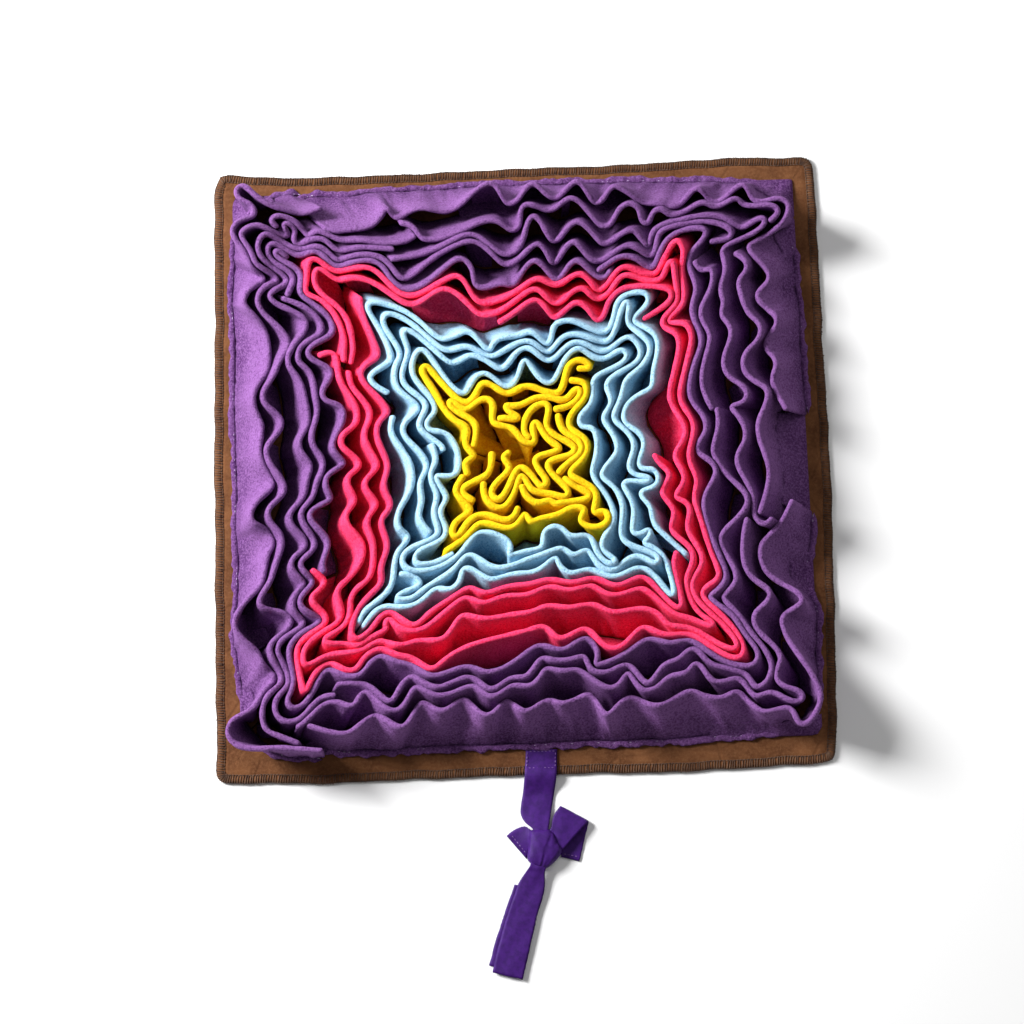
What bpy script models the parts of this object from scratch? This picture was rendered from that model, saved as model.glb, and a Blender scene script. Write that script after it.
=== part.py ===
"""Snuffle mat: a square suede base with rows of fleece ruffle strips standing on it and a tied ribbon.

Each ruffle is a long fleece strip sewn on edge to the base. Its seam is gathered, so the strip stands
up as a wall whose free rim swings from side to side. One table per strip says where each swing turns.

Metres, +Z up. The origin is the middle of the base's underside, +Y runs away from the ribbon.
"""

import bmesh
import bpy
import numpy as np

# Base cloth
BASE_THICKNESS = 0.003
BASE_EDGE_BEVEL = 0.0008

# Fleece strips
STRIP_WIDTH = 0.0455
STRIP_THICKNESS = 0.0022
PIECE_GAP = 0.0004
SETTLE_MARGIN = 0.0016
LEAST_RIM_RISE = 0.034
RIM_SAMPLES = 6
SEAM_STEP = 0.002
TURN_TOLERANCE = 0.0027
LONGEST_FACET = 0.05
SEAM_KEEP = 0.38
MITRE_LIMIT = 1.5

# How far the seams lie outside their rims: this much away from the middle, growing to it over the reach
FIELD_SQUARENESS = 6.0
SPREAD_REACH = 0.09
SPREAD_TURN = 0.04
SPREAD_SIDE = 0.021
SPREAD_AWAY = 0.023
SPREAD_RIBBON = 0.020
SEAM_FIELD = ((-0.2280, -0.2255), (0.2325, 0.2310))

# The outermost strips are sewn along the edge of the field
EDGE_STRIPS = ("purple_1", "purple_2", "purple_3")
EDGE_PULL = 0.85
INNER_REACH = 0.955
SEAM_OVERRUN = 0.15
EDGE_SQUARENESS = 9.0
MOST_LEAN = 0.032

# Settling the strips beside each other
SETTLE_ROUNDS = 300
SETTLE_LEVELS = (0.0, 0.2, 0.4, 0.6, 0.8, 1.0)
SETTLE_REACH = 0.008
SETTLE_NEIGHBOUR = 0.0065
SETTLE_CROSSED = 0.0028
SETTLE_RATE = 1.2
SETTLE_REFRESH = 20

# Ribbon
RIBBON_THICKNESS = 0.001

# The layout grid is squared up on the base and seen from one eye point, so a raised edge lies nearer that point
GRID_MIDDLE = (512.0, 460.0)
GRID_ACROSS = (8.0758e-4, -2.802e-5, -5.784e-3)
GRID_ALONG = (-2.717e-5, -8.2067e-4, 4.1148e-3)
GRID_TAPER = 6.8724e-5
GRID_HEIGHT = 0.003
GRID_EYE = (-0.0174, -0.3404, 1.8757)

# colour, roughness, seam smoothing along the strip in metres
STRIP_KINDS = {
    "purple": ((0.235, 0.105, 0.39), 0.95, 0.017),
    "red": ((0.73, 0.035, 0.09), 0.95, 0.017),
    "blue": ((0.30, 0.55, 0.68), 0.95, 0.013),
    "yellow": ((0.83, 0.52, 0.02), 0.95, 0.011),
}
BASE_COLOUR = (0.09, 0.035, 0.014)
RIBBON_COLOUR = (0.085, 0.012, 0.26)

# Corner points of the base's outline on the grid: u, v
BASE_OUTLINE = (
    (221, 178), (265, 178), (305, 178.5), (345, 177.5), (385, 175.5), (425, 174.5), (465, 172), (505, 170),
    (545, 168.5), (585, 167), (625, 165.5), (665, 163), (705, 160), (745, 158.5), (785, 158.5), (805, 158.5),
    (811, 163), (813, 185), (816, 225), (818, 265), (820, 305), (822, 345), (824.5, 385), (827, 425),
    (829.5, 465), (831, 505), (832, 545), (833, 585), (834, 625), (835, 665), (835.5, 705), (835, 745),
    (833, 758), (826, 761.5), (785, 764), (745, 767), (705, 769.5), (665, 771), (625, 772), (585, 772.5),
    (545, 773.5), (505, 775), (465, 776.5), (425, 778), (385, 780), (345, 781.5), (305, 783), (265, 782),
    (225, 782), (219, 778), (217.5, 745), (217, 705), (216.5, 665), (216, 625), (216, 585), (216, 545),
    (215.5, 505), (215, 465), (215, 425), (215.5, 385), (215.5, 345), (215.5, 305), (215.5, 265), (215, 225),
    (216, 188),
)

# Ribbon bands, a row per cross-section: left edge u, v, right edge u, v, height of its middle
RIBBON_BANDS = {
    "ribbon_strap": (
        (525.8, 749.5, 557.0, 749.0, 0.0040),
        (525.5, 760.0, 557.0, 759.5, 0.0040),
        (525.0, 767.0, 556.9, 766.5, 0.0050),
        (524.8, 773.5, 556.8, 773.0, 0.0060),
        (524.3, 779.0, 556.3, 778.5, 0.0052),
        (523.6, 787.0, 555.2, 786.5, 0.0027),
        (522.8, 794.0, 554.1, 793.5, 0.0011),
        (521.0, 805.0, 552.4, 804.5, 0.0011),
        (520.8, 814.0, 551.0, 813.5, 0.0020),
        (524.5, 821.5, 549.8, 821.0, 0.0042),
        (533.5, 830.3, 548.4, 830.0, 0.0062),
    ),
    "ribbon_left_end": (
        (506.5, 836.0, 526.5, 859.0, 0.0009),
        (511.0, 832.0, 527.5, 856.0, 0.0009),
        (518.0, 828.0, 528.0, 852.0, 0.0016),
        (525.0, 826.5, 529.0, 847.0, 0.0030),
        (530.0, 829.5, 530.3, 842.5, 0.0046),
    ),
    "ribbon_right_end": (
        (551.0, 828.0, 561.5, 850.5, 0.0058),
        (552.5, 820.0, 568.0, 844.0, 0.0060),
        (555.0, 813.0, 578.0, 833.0, 0.0056),
        (559.0, 807.6, 587.4, 823.0, 0.0044),
        (560.2, 806.4, 588.6, 821.6, 0.0026),
        (560.4, 810.0, 588.0, 825.0, 0.0010),
        (560.6, 828.0, 584.5, 840.0, 0.0008),
        (561.0, 857.0, 579.5, 861.3, 0.0008),
    ),
    "ribbon_tail_front": (
        (536.2, 864.7, 541.7, 867.7, 0.0072),
        (526.5, 871.0, 544.8, 874.5, 0.0054),
        (519.0, 882.5, 545.0, 884.5, 0.0036),
        (515.0, 893.0, 543.5, 895.0, 0.0030),
        (508.5, 912.0, 537.8, 913.5, 0.0028),
        (504.0, 926.0, 534.6, 928.5, 0.0027),
        (498.3, 947.0, 529.7, 950.0, 0.0027),
        (492.4, 972.5, 522.8, 979.6, 0.0027),
    ),
    "ribbon_tail_back": (
        (514.5, 884.5, 536.0, 888.0, 0.0011),
        (511.5, 893.5, 537.0, 898.0, 0.0009),
        (504.8, 912.5, 532.0, 916.0, 0.0008),
        (500.4, 926.0, 528.5, 930.0, 0.0008),
        (494.9, 943.5, 524.0, 949.0, 0.0008),
        (489.1, 965.5, 519.0, 972.5, 0.0008),
    ),
}

# The knot: u, v of its outline, lower and upper height there
KNOT_OUTLINE = (
    (536.4, 831.5), (542.0, 830.8), (548.3, 831.5), (553.5, 837.0), (558.0, 844.4), (559.3, 850.2), (556.3, 856.9),
    (546.3, 863.3), (541.8, 866.6), (537.0, 864.0), (528.4, 861.0), (529.8, 852.7), (531.8, 839.5),
)
KNOT_BOTTOM = 0.0003
KNOT_SKIRT = 0.0023
KNOT_TOP = 0.0105
KNOT_CROWN_INSET = 0.0035
KNOT_SHOULDER = 0.0065

# Fleece strips, a row per fold: out_u, out_v where the rim swings out, then in_u, in_v where it swings back in
LAYOUT = {
    "purple_1": (
        (321, 748, 300, 747), (278, 746, 256, 748), (241, 747, 231, 741), (227, 731, 231, 721), (243, 714, 256, 706),
        (262, 692, 279, 678), (278, 672, 262, 664), (258, 652, 245, 641), (234, 628, 235, 617), (246, 600, 261, 586),
        (265, 568, 268, 552), (275, 544, 267, 528), (253, 523, 250, 514), (258, 499, 273, 487), (271, 476, 258, 455),
        (262, 432, 261, 421), (252, 402, 256, 387), (269, 373, 270, 358), (266, 330, 252, 313), (243, 303, 247, 291),
        (268, 278, 251, 268), (247, 253, 236, 240), (231, 230, 239, 219), (254, 216, 254, 206), (241, 199, 235, 191),
        (243, 184, 252, 193), (268, 205, 285, 212), (304, 220, 322, 221),
    ),
    "purple_2": (
        (322, 225, 336, 231), (352, 229, 370, 227), (380, 218, 387, 206), (396, 220, 408, 212), (423, 207, 444, 212),
        (459, 206, 475, 190), (491, 181, 499, 189), (507, 204, 518, 200), (526, 187, 534, 182), (545, 193, 556, 199),
        (566, 189, 577, 179), (586, 190, 596, 204), (604, 198, 613, 184), (625, 191, 645, 205), (659, 202, 677, 208),
        (691, 191, 699, 187), (710, 200, 720, 203), (736, 188, 746, 184), (752, 199, 762, 202), (777, 197, 788, 201),
        (788, 212, 775, 227), (757, 236, 748, 244), (752, 254, 771, 273), (766, 284, 756, 294), (762, 304, 778, 317),
        (775, 328, 763, 345), (774, 356, 777, 366), (771, 380, 786, 408),
    ),
    "purple_3": (
        (791, 500, 780, 522), (767, 535, 760, 547), (764, 570, 780, 582), (801, 594, 803, 603), (788, 611, 781, 620),
        (790, 642, 808, 667), (821, 690, 820, 706), (808, 724, 798, 723), (793, 706, 778, 708), (764, 711, 750, 700),
        (739, 688, 726, 697), (706, 697, 693, 689), (677, 697, 658, 707), (642, 701, 631, 696), (619, 704, 607, 717),
        (599, 705, 590, 693), (575, 700, 561, 704), (549, 699, 536, 707), (523, 713, 507, 698), (496, 712, 484, 716),
        (470, 702, 461, 696), (450, 709, 437, 711), (421, 700, 413, 716), (402, 729, 387, 720), (375, 714, 360, 725),
        (346, 737, 306, 731),
    ),
    "purple_4": (
        (299, 740, 280, 735), (265, 730, 262, 714), (267, 696, 285, 685), (286, 672, 270, 656), (269, 643, 289, 629),
        (291, 618, 280, 611), (262, 608, 258, 600), (271, 581, 275, 564), (282, 545, 279, 532), (267, 519, 268, 507),
        (284, 494, 284, 481), (270, 464, 265, 447), (280, 431, 282, 417), (264, 404, 261, 391), (272, 375, 278, 357),
        (290, 346, 284, 331), (265, 315, 256, 300), (264, 286, 280, 280), (273, 270, 255, 264), (252, 250, 240, 236),
        (243, 229, 257, 226), (268, 231, 282, 238), (288, 236, 283, 225), (287, 221, 297, 227), (292, 239, 298, 248),
        (311, 241, 326, 239), (337, 252, 358, 246), (376, 247, 392, 248),
    ),
    "purple_5": (
        (275, 228, 271, 221), (276, 215, 295, 221), (304, 237, 310, 235), (320, 228, 333, 236), (343, 241, 360, 240),
        (377, 243, 396, 243), (408, 240, 414, 236),
    ),
    "purple_6": (
        (401, 222, 414, 226), (420, 237, 431, 241), (460, 232, 480, 222), (498, 220, 511, 231), (520, 226, 520, 209),
        (528, 202, 550, 212), (563, 201, 573, 196), (588, 210, 601, 226), (611, 225, 618, 209), (629, 202, 640, 206),
        (642, 221, 649, 223), (652, 212, 661, 208), (671, 217, 686, 212), (702, 200, 716, 207), (736, 195, 744, 208),
        (757, 208, 774, 205), (780, 213, 773, 223),
    ),
    "purple_7": (
        (736, 253, 747, 261), (746, 272, 738, 279), (743, 299, 748, 313), (762, 325, 759, 340), (744, 353, 744, 371),
        (756, 382, 769, 389), (765, 407, 758, 422), (760, 441, 768, 460), (770, 480, 760, 512),
    ),
    "purple_8": (
        (747, 519, 743, 540), (745, 568, 756, 581), (771, 590, 768, 602), (754, 613, 754, 630), (770, 642, 783, 658),
        (776, 671, 779, 685), (803, 691, 802, 702), (788, 701, 772, 690), (755, 699, 748, 688), (740, 675, 727, 680),
        (711, 681, 702, 665), (694, 663, 687, 674), (670, 675, 659, 686), (644, 690, 634, 677), (628, 670, 620, 685),
        (608, 688, 590, 676), (578, 668, 563, 672), (546, 667, 540, 678), (530, 687, 513, 684), (501, 693, 489, 698),
        (476, 686, 462, 689), (442, 694, 427, 688), (416, 684, 408, 699), (398, 711, 383, 707), (372, 693, 362, 691),
        (354, 707, 340, 700), (327, 700, 313, 713), (304, 723, 298, 727),
    ),
    "purple_9": (
        (333, 697, 320, 698), (308, 710, 297, 721), (281, 721, 272, 707), (276, 695, 288, 686), (288, 674, 281, 662),
        (275, 650, 283, 638), (301, 629, 305, 621), (292, 610, 294, 594), (306, 583, 299, 576), (291, 566, 294, 556),
        (305, 549, 305, 538), (291, 525, 289, 512), (305, 497, 306, 480), (312, 465, 302, 453), (298, 440, 309, 425),
        (306, 402, 300, 378), (290, 367, 289, 356), (294, 345, 305, 334), (308, 319, 294, 309), (278, 303, 269, 294),
        (273, 288, 287, 284), (289, 277, 266, 261), (257, 246, 264, 232), (280, 241, 296, 252), (318, 244, 330, 254),
        (339, 263, 355, 254), (384, 256, 395, 272), (404, 281, 425, 264), (445, 250, 472, 239), (488, 248, 505, 266),
        (520, 257, 536, 241), (545, 249, 554, 266), (565, 247, 575, 240), (586, 255, 599, 265), (622, 247, 633, 245),
        (652, 258, 656, 246), (658, 229, 688, 223), (712, 221, 733, 229), (730, 240, 722, 241), (717, 241, 712, 241),
    ),
    "purple_10": (
        (390, 260, 420, 255), (443, 245, 468, 232), (483, 238, 505, 258), (522, 248, 527, 222), (534, 214, 544, 226),
        (554, 245, 569, 225), (580, 220, 597, 238), (606, 246, 631, 226), (645, 240, 654, 248), (652, 228, 680, 221),
        (702, 214, 727, 218), (741, 229, 752, 219), (763, 213, 765, 226), (740, 239, 719, 247), (728, 267, 719, 287),
        (725, 302, 720, 315), (735, 330, 722, 358), (728, 377, 748, 388), (745, 403, 729, 405), (743, 420, 747, 440),
        (734, 458, 748, 484), (754, 498, 754, 516), (765, 525, 774, 520),
    ),
    "purple_11": (
        (286, 294, 290, 287), (295, 276, 285, 267), (272, 260, 266, 249), (271, 242, 286, 249), (299, 257, 315, 250),
        (326, 258, 336, 268), (352, 262, 370, 259), (386, 266, 391, 280), (407, 291, 425, 286), (443, 270, 461, 256),
        (473, 268, 474, 285), (486, 288, 503, 282), (514, 287, 524, 268), (536, 258, 549, 274), (559, 283, 571, 263),
        (581, 258, 596, 275), (605, 278, 611, 271),
    ),
    "purple_12": (
        (717, 409, 719, 426), (712, 448, 714, 458), (728, 478, 747, 492), (748, 506, 733, 522), (720, 536, 722, 549),
        (737, 572, 735, 586), (721, 597, 738, 612), (751, 632, 766, 647), (773, 665, 768, 681), (755, 689, 748, 674),
        (730, 669, 709, 664), (698, 649, 689, 649), (680, 659, 666, 663), (657, 674, 650, 685), (639, 680, 630, 665),
        (618, 667, 606, 672), (589, 668, 586, 655), (571, 660, 552, 660), (542, 657, 534, 668), (525, 678, 512, 676),
        (497, 688, 487, 689), (473, 675, 450, 684), (436, 690, 422, 682), (411, 675, 400, 686), (391, 704, 378, 693),
        (364, 683, 338, 684),
    ),
    "purple_13": (
        (283, 299, 304, 306), (321, 320, 322, 335), (304, 342, 297, 350), (298, 362, 313, 371), (316, 395, 320, 413),
        (309, 440, 322, 456), (324, 467, 316, 483), (314, 497, 300, 511), (303, 523, 315, 540), (313, 550, 300, 560),
        (301, 570, 314, 580), (307, 589, 299, 599), (303, 610, 322, 618), (317, 626, 296, 635), (288, 652, 294, 682),
        (285, 701, 295, 710), (307, 703, 318, 680), (327, 666, 345, 675), (361, 675, 369, 663), (382, 653, 397, 661),
        (414, 663, 430, 677), (452, 670, 471, 665), (487, 674, 511, 664), (526, 653, 541, 643), (563, 652, 578, 640),
        (591, 637, 600, 653), (594, 667, 612, 661), (634, 648, 650, 636), (671, 644, 691, 636), (708, 649, 731, 663),
        (754, 666, 760, 652), (745, 634, 735, 615), (716, 606, 705, 596), (717, 589, 727, 577), (720, 558, 709, 532),
        (702, 496, 718, 475), (714, 460, 697, 452), (700, 440, 707, 430), (704, 415, 692, 402), (689, 385, 696, 358),
        (703, 340, 695, 322), (691, 306, 698, 288), (687, 265, 689, 252), (702, 240, 707, 229), (690, 226, 661, 240),
        (656, 268, 647, 272), (633, 256, 618, 255), (608, 262, 598, 269),
    ),
    "purple_14": (
        (287, 255, 275, 249), (276, 257, 292, 262), (301, 277, 298, 293), (315, 303, 334, 320), (333, 334, 313, 343),
        (307, 352, 313, 360), (331, 368, 330, 379), (320, 392, 326, 401), (342, 405, 346, 419), (336, 437, 333, 451),
        (348, 463, 327, 473), (325, 487, 333, 499), (316, 506, 308, 515), (318, 528, 330, 541), (323, 560, 323, 566),
        (323, 568, 324, 571),
    ),
    "purple_15": (
        (695, 262, 702, 271), (713, 267, 711, 290), (701, 306, 702, 321), (712, 335, 705, 358), (701, 385, 712, 408),
    ),
    "red_1": (
        (313, 570, 326, 580), (320, 589, 309, 599), (325, 613, 326, 625), (302, 637, 295, 653), (301, 686, 306, 693),
        (314, 673, 331, 661), (344, 671, 357, 670), (364, 656, 382, 646), (397, 655, 413, 657), (431, 673, 445, 659),
        (467, 646, 500, 637), (530, 630, 546, 625), (557, 639, 570, 636), (586, 627, 602, 646), (620, 649, 634, 634),
        (645, 625, 664, 637), (690, 630, 709, 645), (733, 660, 745, 654), (736, 631, 717, 611), (700, 596, 708, 586),
        (723, 577, 712, 553), (703, 521, 693, 498), (699, 480, 688, 460), (692, 440, 695, 422), (680, 402, 681, 385),
        (690, 350, 692, 335), (686, 322, 668, 323), (670, 314, 684, 304), (677, 270, 686, 252), (676, 237, 663, 255),
        (657, 277, 641, 273), (622, 262, 608, 284), (598, 291, 590, 280), (576, 269, 556, 287), (537, 275, 519, 290),
        (485, 305, 472, 296), (460, 272, 440, 281), (412, 297, 394, 290), (374, 266, 352, 266), (334, 271, 318, 257),
        (307, 260, 306, 280), (304, 294, 318, 299), (333, 313, 345, 338), (344, 349, 344, 360),
    ),
    "red_2": (
        (320, 355, 333, 351), (338, 364, 339, 379), (350, 395, 358, 410), (356, 425, 341, 433), (340, 446, 357, 457),
        (360, 467, 348, 475), (348, 486, 357, 500), (345, 513, 348, 526), (362, 540, 364, 556), (350, 578, 336, 589),
        (342, 606, 343, 620), (322, 632, 303, 648), (303, 664, 314, 666), (330, 656, 360, 651), (371, 641, 381, 638),
        (400, 648, 418, 639), (442, 641, 453, 627), (463, 613, 483, 620), (510, 614, 530, 613), (549, 604, 569, 609),
        (595, 602, 612, 614), (640, 607, 660, 613), (668, 629, 692, 626), (713, 640, 732, 649), (740, 645, 727, 628),
        (709, 611, 693, 594), (689, 580, 701, 566), (701, 552, 685, 529), (691, 512, 687, 501), (674, 497, 685, 482),
        (683, 470, 673, 455), (684, 440, 686, 425), (669, 402, 671, 383), (680, 348, 677, 333), (665, 328, 661, 318),
        (676, 306, 677, 285), (676, 268, 672, 258), (666, 264, 662, 277), (645, 280, 622, 272), (612, 292, 597, 302),
        (584, 287, 572, 291), (555, 308, 538, 286), (522, 295, 500, 312), (480, 316, 468, 303), (448, 287, 432, 293),
        (414, 306, 394, 294), (372, 279, 350, 277), (338, 281, 322, 268), (315, 270, 315, 285), (325, 297, 345, 312),
        (352, 335, 353, 350), (352, 356, 351, 362),
    ),
    "red_3": (
        (349, 372, 351, 386), (366, 402, 372, 416), (362, 435, 374, 455), (379, 467, 364, 480), (367, 491, 379, 504),
        (365, 519, 373, 538), (374, 553, 371, 578), (354, 588, 349, 600), (350, 615, 339, 629), (322, 637, 330, 644),
        (345, 642, 358, 647), (370, 639, 390, 633), (385, 622, 391, 617), (400, 628, 420, 630), (436, 619, 452, 606),
        (467, 595, 483, 605), (505, 594, 529, 596), (549, 584, 571, 592), (592, 583, 607, 595), (627, 592, 645, 584),
        (659, 599, 676, 619), (690, 621, 712, 630), (715, 621, 700, 612), (683, 582, 692, 563), (690, 546, 668, 530),
        (677, 512, 664, 497), (662, 488, 672, 474), (660, 464, 655, 455),
    ),
    "red_4": (
        (679, 549, 674, 564), (682, 588, 687, 602), (676, 609, 662, 595), (648, 576, 637, 576), (617, 587, 596, 574),
        (575, 584, 551, 578), (530, 585, 508, 585), (484, 595, 471, 585), (452, 598, 430, 611), (417, 626, 405, 624),
        (392, 610, 381, 614), (373, 628, 358, 641), (350, 634, 355, 613), (370, 595, 384, 582), (380, 566, 390, 545),
        (381, 524, 383, 516), (393, 504, 383, 487), (386, 476, 389, 462), (376, 437, 379, 420), (390, 412, 378, 396),
        (360, 378, 364, 365), (380, 357, 374, 339), (362, 310, 362, 298),
    ),
    "blue_1": (
        (387, 392, 371, 382), (370, 374, 391, 363), (392, 354, 379, 327), (366, 308, 371, 301), (398, 308, 420, 323),
        (438, 341, 450, 339), (468, 330, 477, 341), (488, 355, 493, 343), (503, 337, 519, 336), (532, 330, 547, 346),
        (552, 335, 553, 324), (568, 319, 586, 326), (607, 335, 615, 316), (617, 300, 632, 291), (648, 293, 648, 305),
        (632, 317, 635, 325), (655, 332, 657, 350), (651, 372, 653, 388), (638, 394, 624, 408), (625, 424, 641, 432),
        (645, 447, 638, 462), (643, 469, 653, 468), (659, 476, 656, 486), (645, 489, 641, 494), (645, 500, 652, 508),
        (653, 525, 671, 543), (680, 549, 689, 555),
    ),
    "blue_2": (
        (430, 532, 420, 520), (419, 511, 423, 499), (420, 482, 430, 467), (421, 451, 404, 436), (403, 423, 418, 411),
        (417, 403, 396, 389), (394, 366, 402, 354), (391, 337, 382, 321), (387, 312, 409, 320), (430, 338, 449, 352),
        (468, 342, 490, 356), (504, 349, 530, 337), (547, 357, 561, 336), (580, 334, 605, 344), (613, 334, 619, 312),
        (626, 300, 631, 307), (627, 322, 645, 334), (653, 348, 641, 368), (624, 380, 622, 398), (611, 418, 626, 429),
        (636, 446, 628, 465), (634, 475, 651, 477), (648, 482, 630, 479), (622, 484, 633, 500), (634, 519, 632, 532),
        (641, 534, 650, 528), (650, 537, 641, 545), (660, 549, 671, 568), (676, 592, 668, 597), (657, 577, 640, 564),
        (615, 579, 592, 565), (572, 575, 559, 565), (556, 555, 541, 570), (525, 573, 508, 574), (491, 581, 476, 570),
        (462, 567, 461, 581), (449, 590, 435, 584), (424, 599, 403, 607), (381, 605, 364, 625),
    ),
    "blue_3": (
        (358, 622, 364, 609), (378, 600, 394, 586), (396, 566, 399, 552), (410, 542, 409, 535), (399, 528, 397, 517),
        (402, 504, 411, 490), (413, 470, 405, 452), (390, 432, 393, 417),
    ),
    "blue_4": (
        (402, 572, 416, 575), (423, 586, 405, 591), (395, 598, 411, 602), (426, 586, 444, 578), (457, 569, 469, 552),
        (484, 562, 499, 569), (525, 558, 548, 551), (563, 545, 574, 557), (588, 547, 594, 564), (611, 571, 622, 558),
        (638, 551, 656, 565), (660, 556, 645, 547), (623, 538, 622, 521), (624, 505, 614, 485), (600, 476, 609, 462),
        (619, 450, 612, 431), (601, 417, 614, 402), (605, 386, 613, 375), (639, 361, 641, 348), (628, 334, 614, 345),
        (601, 353, 581, 342), (566, 348, 550, 366), (531, 345, 515, 352), (503, 371, 490, 360), (472, 350, 452, 367),
        (438, 354, 408, 327), (402, 334, 411, 350), (404, 368, 404, 385), (427, 400, 427, 412), (419, 425, 434, 436),
        (443, 444, 443, 449),
    ),
    "blue_5": (
        (433, 444, 439, 462), (429, 475, 440, 494), (432, 511, 441, 532), (426, 541, 405, 549), (400, 561, 410, 571),
        (436, 567, 457, 556), (470, 539, 480, 530), (505, 537, 512, 546), (508, 556, 526, 551), (545, 549, 542, 530),
        (562, 525, 570, 538), (592, 533, 596, 551), (613, 569, 618, 560), (601, 551, 602, 535), (615, 519, 607, 496),
        (589, 475, 597, 457), (595, 426, 582, 428), (578, 416, 594, 402), (590, 379, 608, 370), (629, 358, 622, 347),
        (604, 360, 590, 354), (577, 343, 561, 360), (553, 385, 538, 378), (524, 354, 517, 382), (505, 388, 487, 371),
        (474, 377, 465, 399), (442, 376, 425, 346), (413, 355, 411, 374), (430, 392, 438, 411), (424, 421, 428, 433),
        (448, 432, 459, 452), (458, 474, 445, 476), (433, 474, 441, 488), (448, 498, 438, 511), (448, 528, 442, 541),
        (416, 549, 415, 565), (436, 563, 452, 554),
    ),
    "yellow_1": (
        (579, 368, 592, 368), (583, 359, 568, 363), (564, 384, 557, 397), (541, 391, 524, 384), (508, 396, 492, 384),
        (480, 381, 475, 394), (465, 404, 450, 390), (434, 371, 427, 364), (420, 372, 433, 391), (443, 409, 456, 421),
        (470, 427, 463, 445), (477, 455, 465, 461), (466, 468, 467, 474),
    ),
    "yellow_2": (
        (554, 408, 572, 405), (582, 392, 576, 387), (566, 402, 551, 398), (534, 398, 518, 407), (504, 404, 511, 413),
        (520, 417, 512, 420), (504, 419, 497, 420),
    ),
    "yellow_3": (
        (474, 445, 477, 425), (470, 418, 450, 409), (450, 399, 458, 403), (467, 411, 481, 397), (495, 402, 493, 419),
        (502, 424, 514, 426), (523, 441, 534, 443), (529, 427, 537, 420), (546, 439, 562, 447), (553, 452, 534, 457),
        (538, 468, 549, 481), (541, 489, 532, 474), (521, 465, 512, 482), (500, 502, 489, 492), (500, 478, 512, 467),
        (502, 457, 509, 452),
    ),
    "yellow_4": (
        (531, 437, 524, 432), (526, 413, 545, 399), (551, 408, 545, 425), (554, 435, 577, 446), (574, 457, 547, 460),
        (550, 472, 571, 487), (566, 499, 549, 491), (530, 492, 526, 479), (521, 476, 519, 494), (501, 510, 487, 500),
        (484, 490, 484, 483),
    ),
    "yellow_5": (
        (571, 380, 586, 382), (586, 397, 570, 411), (568, 429, 587, 437), (586, 458, 564, 474), (584, 484, 598, 496),
        (592, 514, 606, 509), (611, 522, 594, 528), (578, 520, 587, 509), (573, 505, 558, 515), (541, 517, 531, 523),
        (524, 511, 519, 520), (508, 529, 480, 519), (470, 533, 446, 551),
    ),
    "yellow_6": (
        (464, 477, 456, 490), (466, 502, 473, 511), (455, 520, 452, 535), (461, 537, 468, 520), (484, 513, 507, 522),
        (516, 516, 518, 508),
    ),
    "yellow_7": (
        (492, 453, 490, 473), (477, 479, 460, 487), (462, 496, 473, 500),
    ),
    "yellow_8": (
        (565, 477, 576, 485), (593, 491, 584, 499), (563, 501, 555, 503), (550, 499, 538, 504), (526, 494, 521, 484),
    ),
    "yellow_9": (
        (558, 415, 562, 431), (579, 439, 582, 451), (570, 462, 562, 474),
    ),
    "red_5": (
        (645, 318, 662, 308), (673, 298, 670, 284), (655, 280, 632, 284), (617, 290, 607, 302), (604, 316, 597, 321),
        (588, 308, 576, 301), (565, 311, 554, 320), (545, 305, 534, 298), (516, 312, 500, 322),
    ),
}


def on_plan(points, height):
    """Plan position in metres of grid points drawn at this height: one height, or one for each point."""
    points = np.asarray(points, float)
    across = points[:, 0] - GRID_MIDDLE[0]
    along = points[:, 1] - GRID_MIDDLE[1]
    taper = 1 + GRID_TAPER * along
    x = (GRID_ACROSS[0] * across + GRID_ACROSS[1] * along + GRID_ACROSS[2]) / taper
    y = (GRID_ALONG[0] * across + GRID_ALONG[1] * along + GRID_ALONG[2]) / taper
    flat = np.stack([x, y], axis=1)
    share = (np.broadcast_to(height, len(points)) - GRID_HEIGHT) / (GRID_EYE[2] - GRID_HEIGHT)
    return flat + share[:, None] * (np.array(GRID_EYE[:2]) - flat)


def smooth_curve(points, samples):
    """Points of a centripetal Catmull-Rom curve through the given ones, with this many samples per span."""
    points = np.asarray(points, float)
    ends = np.vstack([2 * points[0] - points[1], points, 2 * points[-1] - points[-2]])
    curve = []
    for index in range(1, len(ends) - 2):
        p0, p1, p2, p3 = ends[index - 1 : index + 3]
        t1 = np.linalg.norm(p1 - p0) ** 0.5
        t2 = t1 + np.linalg.norm(p2 - p1) ** 0.5
        t3 = t2 + np.linalg.norm(p3 - p2) ** 0.5
        for t in np.linspace(t1, t2, samples, endpoint=False):
            a1 = (t1 - t) / t1 * p0 + t / t1 * p1
            a2 = (t2 - t) / (t2 - t1) * p1 + (t - t1) / (t2 - t1) * p2
            a3 = (t3 - t) / (t3 - t2) * p2 + (t - t2) / (t3 - t2) * p3
            b1 = (t2 - t) / t2 * a1 + t / t2 * a2
            b2 = (t3 - t) / (t3 - t1) * a2 + (t - t1) / (t3 - t1) * a3
            curve.append((t2 - t) / (t2 - t1) * b1 + (t - t1) / (t2 - t1) * b2)
    curve.append(points[-1])
    return np.array(curve)


def arc_lengths(path):
    """Distance along the path at each of its points."""
    steps = np.linalg.norm(np.diff(path, axis=0), axis=1)
    return np.concatenate([[0.0], np.cumsum(steps)])


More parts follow.
